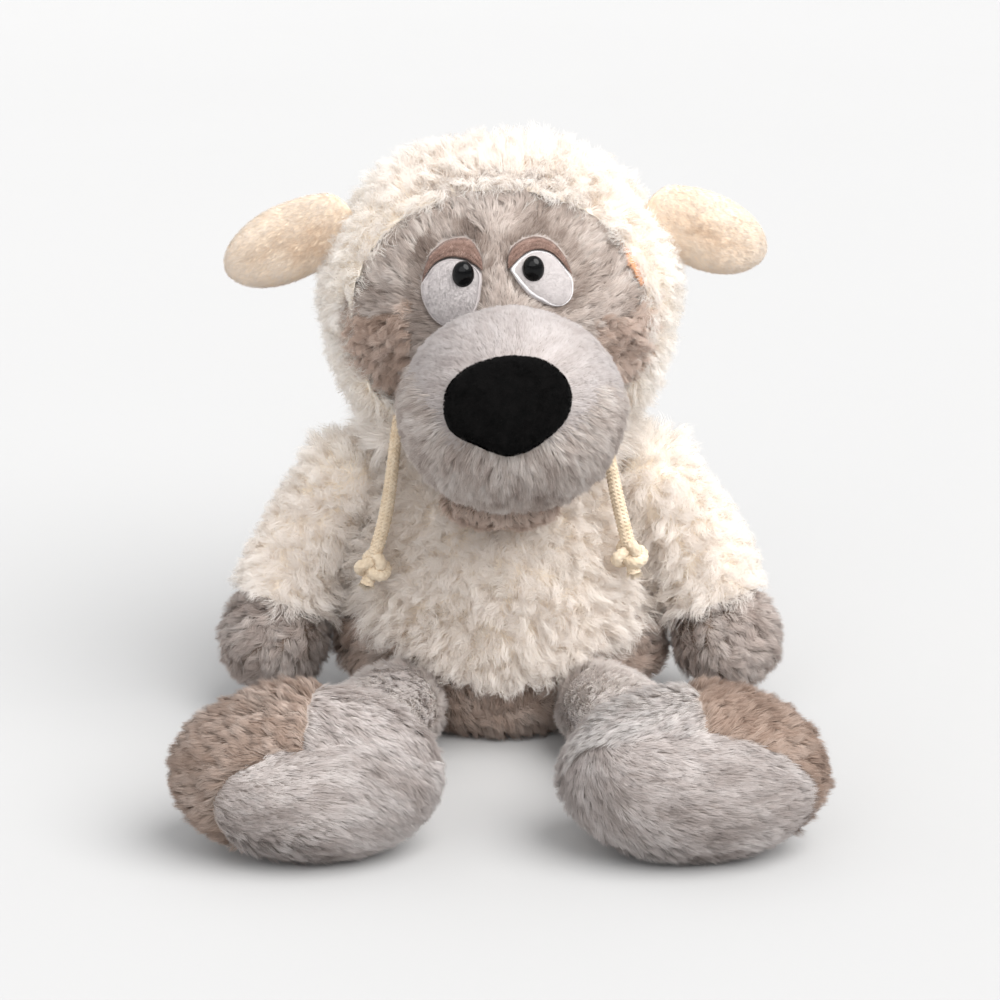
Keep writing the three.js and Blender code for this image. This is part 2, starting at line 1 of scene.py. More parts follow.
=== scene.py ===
# Looks of a seated plush wolf in a hooded long-pile pullover. The wolf faces -Y and its own
# left is +X. Helpers work in millimetres in the part's frame; meshes are made in metres.
import math

import bpy
import numpy as np
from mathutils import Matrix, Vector


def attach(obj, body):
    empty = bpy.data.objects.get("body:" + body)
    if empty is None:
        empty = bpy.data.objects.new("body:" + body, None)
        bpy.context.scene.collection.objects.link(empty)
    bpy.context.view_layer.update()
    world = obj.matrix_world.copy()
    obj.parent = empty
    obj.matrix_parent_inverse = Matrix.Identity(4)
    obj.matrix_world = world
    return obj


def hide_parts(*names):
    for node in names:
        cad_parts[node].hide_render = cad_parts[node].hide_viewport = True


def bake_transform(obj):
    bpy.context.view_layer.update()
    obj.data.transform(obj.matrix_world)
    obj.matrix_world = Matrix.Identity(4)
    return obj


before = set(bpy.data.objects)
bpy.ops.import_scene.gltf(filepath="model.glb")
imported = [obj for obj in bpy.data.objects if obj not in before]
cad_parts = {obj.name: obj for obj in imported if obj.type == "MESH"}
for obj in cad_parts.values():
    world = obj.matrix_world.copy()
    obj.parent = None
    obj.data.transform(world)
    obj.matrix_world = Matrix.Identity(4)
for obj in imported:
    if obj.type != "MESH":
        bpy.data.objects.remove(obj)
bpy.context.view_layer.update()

MM = 0.001
SC = bpy.context.scene
DENSE = 1.0

# ---------------------------------------------------------------- camera
ELEV, DIST = math.radians(18.5), 1.15
AIM = Vector((0, 0, 0.0908307))
cam_data = bpy.data.cameras.new("camera")
cam_data.lens, cam_data.sensor_width = 98.5714, 36
cam_data.clip_start, cam_data.clip_end = 0.05, 60
cam = bpy.data.objects.new("camera", cam_data)
cam.location = AIM + DIST * Vector((0, -math.cos(ELEV), math.sin(ELEV)))
cam.rotation_euler = (AIM - cam.location).to_track_quat("-Z", "Y").to_euler()
SC.collection.objects.link(cam)
SC.camera = cam

# ---------------------------------------------------------------- the part's dimensions, mm
TORSO = [[0, 34], [4, 43], [14, 49.0], [32, 51.2], [52, 52.2], [74, 50.0], [90, 45.0], [106, 37.4], [117, 28.5], [124, 12]]
JACKET = [[30, 56], [46, 58], [62, 57.6], [78, 55.6], [94, 51.4], [110, 46.6], [124.5, 43.5]]
HEM = [[0, 27], [20, 32], [40, 42], [64, 41], [90, 36], [130, 30], [180, 27]]
HEAD, HEAD_R = (0, -2, 181), (60, 55, 51)
HOOD, HOOD_R, HOOD_LOW = (0, 4, 182), (71, 62, 57.5), 53.5
MUZZLE, MUZZLE_R = (4.6, -74, 153.2), (43.5, 41, 38.3)
CHIN, CHIN_R = (2.6, -66.5, 111.0), (27, 14.5, 10.5)
NOSE, NOSE_W, NOSE_H, NOSE_TILT = (3.2, -114.6, 168.2), 47, 37, 24
EARS = {"right": ((-63.6, 0, 213.0), (-111, -8, 194.5)), "left": ((63.0, 0, 215.6), (107.5, -4, 200.5))}
EAR_H, EAR_T = 15.2, 7.2
CORD_D = 5.0
CORDS = {
    "right": ([[-40.5, -30.6, 137], [-40.9, -34.6, 136.2], [-41.3, -37.9, 134], [-41.8, -40.2, 130.6], [-42.3, -41.2, 126.4], [-43.8, -42.3, 114], [-46.4, -43.6, 98], [-50.4, -45.4, 83.5]], [-51.6, -46, 76.6]),
    "left": ([[40.5, -30.6, 137], [41.1, -34.6, 136.2], [41.8, -37.9, 134], [42.6, -40.2, 130.6], [43.4, -41.2, 126.4], [45.4, -42.3, 115], [48.2, -43.4, 102], [51.6, -45.2, 88.5]], [52.6, -45.8, 81.4]),
}
SHOULDER = (62.5, 0, 98)
ARM_PATH = [[62.5, 0, 98], [81.5, -4, 72], [90.5, -9, 50], [95.5, -14.5, 33.5]]
HIP, ANKLE_END, LEG_R = (42.5, -56.5, 19.6), (64.0, -102.2, 21.5), 18.5
FOOT, FOOT_R = (72.2, -149.5, 33), (49, 27, 33.5)
TAIL_PATH = [[0, 60, 14], [8, 67, 13.4], [20, 72, 12.8], [34, 75, 12.4]]
SKIN_IN = 0.7  # the fabric's backing lies this far inside the solids' surface


# ---------------------------------------------------------------- small maths
def unit(v):
    return v / np.maximum(np.linalg.norm(v, axis=-1, keepdims=True), 1e-9)


def ease(x, lo, hi):
    t = np.clip((x - lo) / (hi - lo), 0, 1)
    return t * t * (3 - 2 * t)


def chance(i, j, k, seed):
    """A number from 0 to 1 for each whole-numbered place, always the same one."""
    h = (i.astype(np.int64) * 73856093) ^ (j.astype(np.int64) * 19349663) ^ (k.astype(np.int64) * 83492791) ^ (seed * 1013904223)
    h &= 0xFFFFFFFF
    h = ((h ^ (h >> 16)) * 73244475) & 0xFFFFFFFF
    h = ((h ^ (h >> 16)) * 73244475) & 0xFFFFFFFF
    return ((h ^ (h >> 16)) & 0xFFFFFF) / float(0xFFFFFF)


def noise(p, size, seed=0):
    """Smooth noise from -1 to 1, with lumps about size across."""
    q = np.asarray(p, float) / size
    i = np.floor(q).astype(np.int64)
    f = q - i
    f = f * f * (3 - 2 * f)
    total = np.zeros(len(q))
    for a in (0, 1):
        for b in (0, 1):
            for c in (0, 1):
                w = (f[:, 0] if a else 1 - f[:, 0]) * (f[:, 1] if b else 1 - f[:, 1]) * (f[:, 2] if c else 1 - f[:, 2])
                total += w * chance(i[:, 0] + a, i[:, 1] + b, i[:, 2] + c, seed)
    return total * 2 - 1


def drift(p, size, seed=0):
    return np.stack([noise(p, size, seed + k) for k in (1, 2, 3)], axis=1)


def cells(p, size, seed):
    """For each point, the number of the scattered centre that it is nearest to, the centres about size apart."""
    q = np.asarray(p, float) / size
    base = np.floor(q).astype(np.int64)
    best = np.full(len(q), np.inf)
    found = np.zeros(len(q), np.int64)
    for a in (-1, 0, 1):
        for b in (-1, 0, 1):
            for c in (-1, 0, 1):
                i, j, k = base[:, 0] + a, base[:, 1] + b, base[:, 2] + c
                at = np.stack([i + chance(i, j, k, seed + 11), j + chance(i, j, k, seed + 12), k + chance(i, j, k, seed + 13)], axis=1)
                d = ((at - q) ** 2).sum(1)
                near = d < best
                best[near] = d[near]
                found[near] = ((i * 92821 + j) * 68917 + k)[near]
    return found


def catmull(points, n=400):
    """Evenly spaced points on the centripetal spline through points, and its tangents."""
    p = [np.array(x, float) for x in points]
    p = [2 * p[0] - p[1]] + p + [2 * p[-1] - p[-2]]
    out = []
    for a, b, c, d in zip(p, p[1:], p[2:], p[3:]):
        t0, t1, t2 = [np.linalg.norm(y - x) ** 0.5 for x, y in ((a, b), (b, c), (c, d))]
        m1 = ((b - a) / t0 - (c - a) / (t0 + t1) + (c - b) / t1) * t1
        m2 = ((c - b) / t1 - (d - b) / (t1 + t2) + (d - c) / t2) * t1
        for t in np.linspace(0, 1, 60, endpoint=False):
            out.append((2 * t**3 - 3 * t**2 + 1) * b + (t**3 - 2 * t**2 + t) * m1 + (3 * t**2 - 2 * t**3) * c + (t**3 - t**2) * m2)
    out.append(p[-2])
    out = np.array(out)
    along = np.concatenate([[0], np.cumsum(np.linalg.norm(np.diff(out, axis=0), axis=1))])
    at = np.linspace(0, along[-1], n)
    line = np.stack([np.interp(at, along, out[:, k]) for k in range(3)], axis=1)
    return line, unit(np.gradient(line, axis=0)), along[-1]


def inside(p, centre, r, grow=0.0):
    """Below 1 inside an ellipsoid."""
    return (((np.asarray(p) - centre) / (np.array(r) + grow)) ** 2).sum(1) ** 0.5


def flip_x(p):
    return np.asarray(p, float) * [-1, 1, 1]


# ---------------------------------------------------------------- base surfaces: points and lists of faces
_balls = {}


def ball(n):
    """Unit sphere of quads: a cube with n squares along each edge, blown up."""
    if n not in _balls:
        ids, pts, quads = {}, [], []

        def vid(p):
            if p not in ids:
                ids[p] = len(pts)
                pts.append([math.tan((2 * c / n - 1) * math.pi / 4) for c in p])
            return ids[p]

        for axis in range(3):
            a, b = (axis + 1) % 3, (axis + 2) % 3
            for side in (0, n):
                for i in range(n):
                    for j in range(n):
                        quad = []
                        for di, dj in ((0, 0), (1, 0), (1, 1), (0, 1)):
                            p = [0, 0, 0]
                            p[axis], p[a], p[b] = side, i + di, j + dj
                            quad.append(vid(tuple(p)))
                        quads.append(quad if side == n else quad[::-1])
        _balls[n] = unit(np.array(pts)), quads
    v, f = _balls[n]
    return v.copy(), [list(q) for q in f]


def loft(rings, close_start=False, close_end=False):
    """Rings of the same number of points joined in order; faces look outward for rings that run anticlockwise about the way they go."""
    rings = [np.asarray(r, float) for r in rings]
    m = len(rings[0])
    v = np.concatenate(rings)
    f = []
    for k in range(len(rings) - 1):
        for i in range(m):
            j = (i + 1) % m
            f.append([k * m + i, k * m + j, (k + 1) * m + j, (k + 1) * m + i])
    if close_start:
        v = np.concatenate([v, rings[0].mean(0, keepdims=True)])
        f += [[len(v) - 1, (i + 1) % m, i] for i in range(m)]
    if close_end:
        v = np.concatenate([v, rings[-1].mean(0, keepdims=True)])
        o = (len(rings) - 1) * m
        f += [[len(v) - 1, o + i, o + (i + 1) % m] for i in range(m)]
    return v, f


def along(points, profile, m=40, flatten=None):
    """A [distance, radius] profile carried along a spline, running straight on past either end."""
    line, tan, length = catmull(points)
    at = np.linspace(0, length, len(line))
    rings = []
    for s, r in profile:
        c = np.array([np.interp(s, at, line[:, k]) for k in range(3)])
        t = unit(np.array([np.interp(s, at, tan[:, k]) for k in range(3)]))
        c = c + t * (min(s, 0) + max(s - length, 0))
        a = unit(np.cross([0.0, 1.0, 0.0], t))
        b = np.cross(t, a)
        ang = np.arange(m) / m * 2 * math.pi
        rings.append(c + max(r, 0.05) * (np.cos(ang)[:, None] * a + np.sin(ang)[:, None] * b))
    return loft(rings, True, True)


def tris(f):
    out = []
    for q in f:
        out.append(q[:3])
        if len(q) == 4:
            out.append([q[0], q[2], q[3]])
    return np.array(out, np.int64)


def normals_of(v, f):
    t = tris(f)
    n = np.cross(v[t[:, 1]] - v[t[:, 0]], v[t[:, 2]] - v[t[:, 0]])
    total = np.zeros_like(v)
    for k in range(3):
        np.add.at(total, t[:, k], n)
    return unit(total)


def outward(v, f):
    """Turns the faces round if they look inward on the whole."""
    t = tris(f)
    c = v.mean(0)
    a, b, d = v[t[:, 0]] - c, v[t[:, 1]] - c, v[t[:, 2]] - c
    return v, (f if np.einsum("ij,ij->i", a, np.cross(b, d)).sum() > 0 else [q[::-1] for q in f])


def part_of(v, f, keep):
    """The faces whose middle passes keep, with their own points."""
    mid = np.array([v[q].mean(0) for q in f])
    f = [q for q, k in zip(f, keep(mid)) if k]
    used = sorted({i for q in f for i in q})
    new = {old: i for i, old in enumerate(used)}
    return v[used], [[new[i] for i in q] for q in f]


def made(name, v, f, mat, smooth=True):
    me = bpy.data.meshes.new(name)
    me.from_pydata((np.asarray(v) * MM).tolist(), [], [list(map(int, q)) for q in f])
    if smooth:
        me.polygons.foreach_set("use_smooth", np.ones(len(me.polygons), bool))
    me.materials.append(mat)
    me.update()
    o = bpy.data.objects.new(name, me)
    SC.collection.objects.link(o)
    return o


def finer(v, f):
    """One round of subdivision, applied."""
    me = bpy.data.meshes.new("tmp")
    me.from_pydata(np.asarray(v).tolist(), [], [list(map(int, q)) for q in f])
    o = bpy.data.objects.new("tmp", me)
    SC.collection.objects.link(o)
    m = o.modifiers.new("s", "SUBSURF")
    m.levels = m.render_levels = 1
    e = o.evaluated_get(bpy.context.evaluated_depsgraph_get())
    got = e.to_mesh()
    co = np.zeros(len(got.vertices) * 3)
    got.vertices.foreach_get("co", co)
    faces = [list(p.vertices) for p in got.polygons]
    e.to_mesh_clear()
    bpy.data.objects.remove(o)
    bpy.data.meshes.remove(me)
    return co.reshape(-1, 3), faces


# ---------------------------------------------------------------- stuffing: pressure in a sewn cover
_to_stuff = []


def stuffed(v, f, seam, cap=1.6, pressure=4.0):
    """Puts a cover on the list to be blown up between its seams. seam says which points the stitching holds."""
    job = {"v": np.asarray(v, float), "f": f, "seam": seam(np.asarray(v, float)), "cap": cap, "pressure": pressure}
    _to_stuff.append(job)
    return job


def run_stuffing():
    objs = []
    for job in _to_stuff:
        me = bpy.data.meshes.new("cover")
        me.from_pydata((job["v"] * MM * 4).tolist(), [], [list(map(int, q)) for q in job["f"]])  # four times the size, where the solver is steadier
        o = bpy.data.objects.new("cover", me)
        SC.collection.objects.link(o)
        g = o.vertex_groups.new(name="seam")
        g.add([int(i) for i in np.flatnonzero(job["seam"])], 1.0, "REPLACE")
        c = o.modifiers.new("cloth", "CLOTH")
        s = c.settings
        s.quality, s.mass, s.air_damping = 6, 0.15, 4
        s.tension_stiffness = s.compression_stiffness = 5
        s.shear_stiffness, s.bending_stiffness = 2, 0.5
        s.use_pressure, s.uniform_pressure_force = True, job["pressure"]
        s.effector_weights.gravity = 0
        s.vertex_group_mass = "seam"
        c.collision_settings.use_collision = False
        c.point_cache.frame_start, c.point_cache.frame_end = 1, 20
        objs.append(o)
    for n in range(1, 19):
        SC.frame_set(n)
    dg = bpy.context.evaluated_depsgraph_get()
    for job, o in zip(_to_stuff, objs):
        e = o.evaluated_get(dg).to_mesh()
        co = np.zeros(len(e.vertices) * 3)
        e.vertices.foreach_get("co", co)
        d = co.reshape(-1, 3) / (MM * 4) - job["v"]
        far = np.linalg.norm(d, axis=1, keepdims=True)
        d = d * np.minimum(1, job["cap"] / np.maximum(far, 1e-6))
        job["moved"] = float(far.max())
        job["v"] = job["v"] + np.nan_to_num(d)
    for o in objs:
        me = o.data
        bpy.data.objects.remove(o)
        bpy.data.meshes.remove(me)
    SC.frame_set(1)
    print("STUFFED", [round(j["moved"], 2) for j in _to_stuff])
    for job in _to_stuff:
        job["v"], job["f"] = finer(job["v"], job["f"])


# ---------------------------------------------------------------- colours and materials
def lin(r, g, b):
    return tuple((c / 255 / 12.92) if c / 255 <= 0.04045 else ((c / 255 + 0.055) / 1.055) ** 2.4 for c in (r, g, b))


def blank(name):
    m = bpy.data.materials.new(name)
    m.use_nodes = True
    nt = m.node_tree
    nt.nodes.clear()
    return m, nt, nt.nodes.new("ShaderNodeOutputMaterial"), nt.nodes.new("ShaderNodeBsdfPrincipled")


def ramp(nt, fac, stops):
    n = nt.nodes.new("ShaderNodeValToRGB")
    el = n.color_ramp.elements
    el[0].position, el[0].color = stops[0][0], (*stops[0][1], 1)
    el[1].position, el[1].color = stops[-1][0], (*stops[-1][1], 1)
    for at, c in stops[1:-1]:
        e = el.new(at)
        e.color = (*c, 1)
    nt.links.new(fac, n.inputs[0])
    return n.outputs[0]


def pile_mat(name, tones, root=0.8, rough=0.85, sheen=0.1, through=0.45, tip=1.0, root_shade_tint=(1, 0.985, 0.96), mid=(0.965, 0.96, 0.95)):
    """Fibres: across the map is the tone of each strand, up it is the way from root to tip, where painted shade darkens
    and warms the roots as if deep in the pile.
    """
    m, nt, out, p = blank(name)
    uv = nt.nodes.new("ShaderNodeUVMap")
    uv.uv_map = "OFBake"
    sep = nt.nodes.new("ShaderNodeSeparateXYZ")
    nt.links.new(uv.outputs[0], sep.inputs[0])
    steps = [(i / (len(tones) - 1), lin(*t)) for i, t in enumerate(tones)]
    tone = ramp(nt, sep.outputs[0], steps)
    # painted shade: this ramp darkens and warms each strand towards its root, standing for the shade deep in the pile;
    # the tips keep the strand's own tone
    shade = ramp(nt, sep.outputs[1], [(0.0, tuple(root * w for w in root_shade_tint)), (0.55, mid), (1.0, (tip, tip, tip))])
    mix = nt.nodes.new("ShaderNodeMix")
    mix.data_type, mix.blend_type = "RGBA", "MULTIPLY"
    mix.inputs[0].default_value = 1.0
    nt.links.new(tone, mix.inputs[6])
    nt.links.new(shade, mix.inputs[7])
    nt.links.new(mix.outputs[2], p.inputs["Base Color"])
    p.inputs["Roughness"].default_value = rough
    p.inputs["Specular IOR Level"].default_value = 0.15
    p.inputs["Sheen Weight"].default_value = sheen
    p.inputs["Sheen Roughness"].default_value = 0.6
    tr = nt.nodes.new("ShaderNodeBsdfTranslucent")
    nt.links.new(mix.outputs[2], tr.inputs["Color"])
    mx = nt.nodes.new("ShaderNodeMixShader")
    mx.inputs[0].default_value = through
    nt.links.new(p.outputs[0], mx.inputs[1])
    nt.links.new(tr.outputs[0], mx.inputs[2])
    nt.links.new(mx.outputs[0], out.inputs["Surface"])
    return m


def cloth_mat(name, dark, light, size=0.0015, rough=0.9, sheen=0.2, bump=0.25, coat=0.0, spec=0.2):
    """A fabric backing or felt: two tones of noise and a fine nap in relief."""
    m, nt, out, p = blank(name)
    co = nt.nodes.new("ShaderNodeTexCoord")
    n1 = nt.nodes.new("ShaderNodeTexNoise")
    n1.inputs["Scale"].default_value = 1 / (size * 6)
    n1.inputs["Detail"].default_value = 6
    nt.links.new(co.outputs["Object"], n1.inputs["Vector"])
    c = ramp(nt, n1.outputs[0], [(0.3, lin(*dark)), (0.7, lin(*light))])
    nt.links.new(c, p.inputs["Base Color"])
    n2 = nt.nodes.new("ShaderNodeTexNoise")
    n2.inputs["Scale"].default_value = 1 / size
    n2.inputs["Detail"].default_value = 3
    nt.links.new(co.outputs["Object"], n2.inputs["Vector"])
    b = nt.nodes.new("ShaderNodeBump")
    b.inputs["Strength"].default_value = bump
    b.inputs["Distance"].default_value = 0.0004
    nt.links.new(n2.outputs[0], b.inputs["Height"])
    nt.links.new(b.outputs[0], p.inputs["Normal"])
    p.inputs["Roughness"].default_value = rough
    p.inputs["Specular IOR Level"].default_value = spec
    p.inputs["Sheen Weight"].default_value = sheen
    p.inputs["Coat Weight"].default_value = coat
    p.inputs["Coat Roughness"].default_value = 0.05
    nt.links.new(p.outputs[0], out.inputs["Surface"])
    return m


GREY = [(142, 126, 117), (174, 159, 150), (201, 188, 180), (222, 211, 204), (239, 231, 225)]
LIGHT = [(158, 147, 142), (190, 180, 176), (212, 204, 201), (229, 223, 221), (243, 239, 237)]
BROWN = [(128, 106, 93), (164, 141, 127), (192, 170, 156), (211, 192, 180), (228, 213, 203)]
TAUPE = [(186, 176, 173), (206, 197, 195), (220, 213, 211), (232, 226, 225), (243, 239, 238)]
STREAK = [(122, 106, 98), (162, 146, 138), (200, 187, 180), (227, 218, 212), (243, 237, 233)]
WOOL = [(239, 234, 228), (244, 239, 234), (247, 243, 239), (250, 247, 243), (252, 250, 248)]
PEACH = [(230, 209, 186), (240, 225, 208), (248, 239, 228), (252, 245, 237), (254, 249, 244)]
PAW = [(134, 118, 110), (168, 153, 145), (196, 182, 175), (216, 205, 199), (233, 225, 220)]
LINING = [(222, 160, 118), (234, 180, 140), (242, 198, 164), (247, 212, 184), (250, 224, 204)]
BLACK = [(8, 8, 8), (12, 12, 12), (17, 16, 16), (24, 23, 23), (34, 33, 32)]

M = {
    "grey": pile_mat("grey_plush_pile", GREY),
    "light": pile_mat("light_plush_pile", LIGHT),
    "brown": pile_mat("brown_plush_pile", BROWN),
    "taupe": pile_mat("muzzle_plush_pile", TAUPE, root=0.88),
    "streak": pile_mat("streaked_plush_pile", STREAK),
    "wool": pile_mat("wool_pile", WOOL, root=0.97, through=0.48, sheen=0.1, root_shade_tint=(1, 0.987, 0.968), mid=(0.988, 0.983, 0.977)),
    "paw": pile_mat("paw_plush_pile", PAW),
    "peach": pile_mat("ear_plush_pile", PEACH, root=0.96),
    "lining": pile_mat("lining_pile", LINING, root=0.92),
    "velvet": pile_mat("nose_velvet_pile", BLACK, root=0.6, through=0.2, sheen=0.0, rough=0.95),
    "cordfuzz": pile_mat("cord_fuzz", [(232, 214, 188), (240, 224, 200), (245, 232, 212), (249, 239, 223), (252, 246, 234)], root=0.95),
    "whitenap": pile_mat("white_felt_nap", [(181, 174, 174), (189, 183, 183), (196, 191, 191), (203, 199, 199), (210, 206, 206)], root=0.98),
    "lidthread": pile_mat("eyelid_thread", [(64, 46, 38), (98, 74, 64), (128, 101, 90), (152, 125, 114), (174, 149, 139)], root=0.72, rough=0.5, through=0.0, sheen=0.2),
    "grey_back": cloth_mat("grey_plush_backing", (150, 139, 133), (178, 168, 162)),
    "brown_back": cloth_mat("brown_plush_backing", (126, 110, 99), (156, 139, 127)),
    "wool_back": cloth_mat("wool_backing", (248, 238, 222), (253, 246, 235), size=0.003),
    "peach_back": cloth_mat("ear_plush_backing", (244, 228, 206), (251, 238, 220), size=0.001),
    "lining_back": cloth_mat("lining_fabric", (216, 158, 118), (236, 188, 152)),
    "felt": cloth_mat("white_felt", (187, 180, 180), (197, 191, 190), size=0.0005, rough=0.85, bump=0.3),
    "thread": cloth_mat("white_satin_thread", (212, 209, 211), (232, 230, 231), size=0.0007, rough=0.45, sheen=0.4, bump=0.1, spec=0.4),
    "velvet_back": cloth_mat("nose_velvet", (7, 7, 7), (15, 14, 14), size=0.0006, rough=1.0, sheen=0.02, bump=0.5, spec=0.05),
    "plastic": cloth_mat("eye_plastic", (4, 4, 5), (8, 8, 9), size=0.004, rough=0.16, sheen=0.0, bump=0.0, coat=0.22, spec=0.1),
    "washer": cloth_mat("washer_plastic", (206, 206, 204), (226, 226, 224), rough=0.45, sheen=0.0, bump=0.05, spec=0.4),
    # painted shade: a darker copy of the white thread, near the felt's tone, for the wolf's right eye on its shaded
    # side; it is also rougher and less shiny
    "thread_painted_shade": cloth_mat("white_matt_thread_painted_shade", (174, 167, 166), (190, 183, 182), size=0.0007, rough=0.6, sheen=0.2, bump=0.1, spec=0.3),
    "pellets": cloth_mat("pellet_cloth", (196, 192, 180), (220, 216, 204)),
    "fibre": cloth_mat("fibre_fill", (226, 226, 222), (246, 246, 243), size=0.002),
    "knot": cloth_mat("cotton_cord_loose", (205, 186, 160), (226, 210, 187), size=0.0007, rough=0.9, sheen=0.25, bump=0.3),
    "cord": cloth_mat("cotton_cord", (207, 186, 158), (229, 212, 188), size=0.0007, rough=0.9, sheen=0.25, bump=0.3),
}


def place(o, body=None, stands_for=(), bend=None):
    if bend:
        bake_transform(o)
    else:
        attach(o, body)
    if stands_for:
        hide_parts(*stands_for)
    return o


# ---------------------------------------------------------------- pile: tapered strands on a surface
def scatter(v, f, per_mm2, seed, keep=None):
    """Points spread at random over a surface, with the surface's normals there."""
    t = tris(f)
    vn = normals_of(v, f)
    a, b, c = v[t[:, 0]], v[t[:, 1]], v[t[:, 2]]
    area = np.linalg.norm(np.cross(b - a, c - a), axis=1) / 2
    r = np.random.default_rng(seed)
    n = int(area.sum() * per_mm2 * DENSE)
    i = np.searchsorted(np.cumsum(area) / area.sum(), r.random(n)).clip(0, len(t) - 1)
    u, w = r.random(n), r.random(n)
    over = u + w > 1
    u[over], w[over] = 1 - u[over], 1 - w[over]
    k = 1 - u - w
    p = a[i] * k[:, None] + b[i] * u[:, None] + c[i] * w[:, None]
    nn = unit(vn[t[i, 0]] * k[:, None] + vn[t[i, 1]] * u[:, None] + vn[t[i, 2]] * w[:, None])
    if keep is not None:
        ok = keep(p)
        p, nn = p[ok], nn[ok]
    return p, nn


def lay(p, t, size, seed, reach=6.0):
    """Noise drawn out along the lay of the pile, about -1 to 1."""
    return sum(noise(p + t * k, size, seed) for k in np.linspace(-reach, reach, 6)) / 6 * 2.1


def mesh_of(name, co, nv, faces, uv, mat):
    me = bpy.data.meshes.new(name)
    me.vertices.add(len(co))
    me.vertices.foreach_set("co", (co * MM).astype(np.float32).ravel())
    me.loops.add(len(faces) * 3)
    me.loops.foreach_set("vertex_index", faces.astype(np.int32).ravel())
    me.polygons.add(len(faces))
    me.polygons.foreach_set("loop_start", np.arange(0, len(faces) * 3, 3, dtype=np.int32))
    me.update(calc_edges=True)
    me.polygons.foreach_set("use_smooth", np.ones(len(faces), bool))
    layer = me.uv_layers.new(name="OFBake")
    layer.data.foreach_set("uv", uv[faces.ravel()].astype(np.float32).ravel())
    me.materials.append(mat)
    me.normals_split_custom_set_from_vertices(nv.tolist())
    o = bpy.data.objects.new(name, me)
    SC.collection.objects.link(o)
    return o


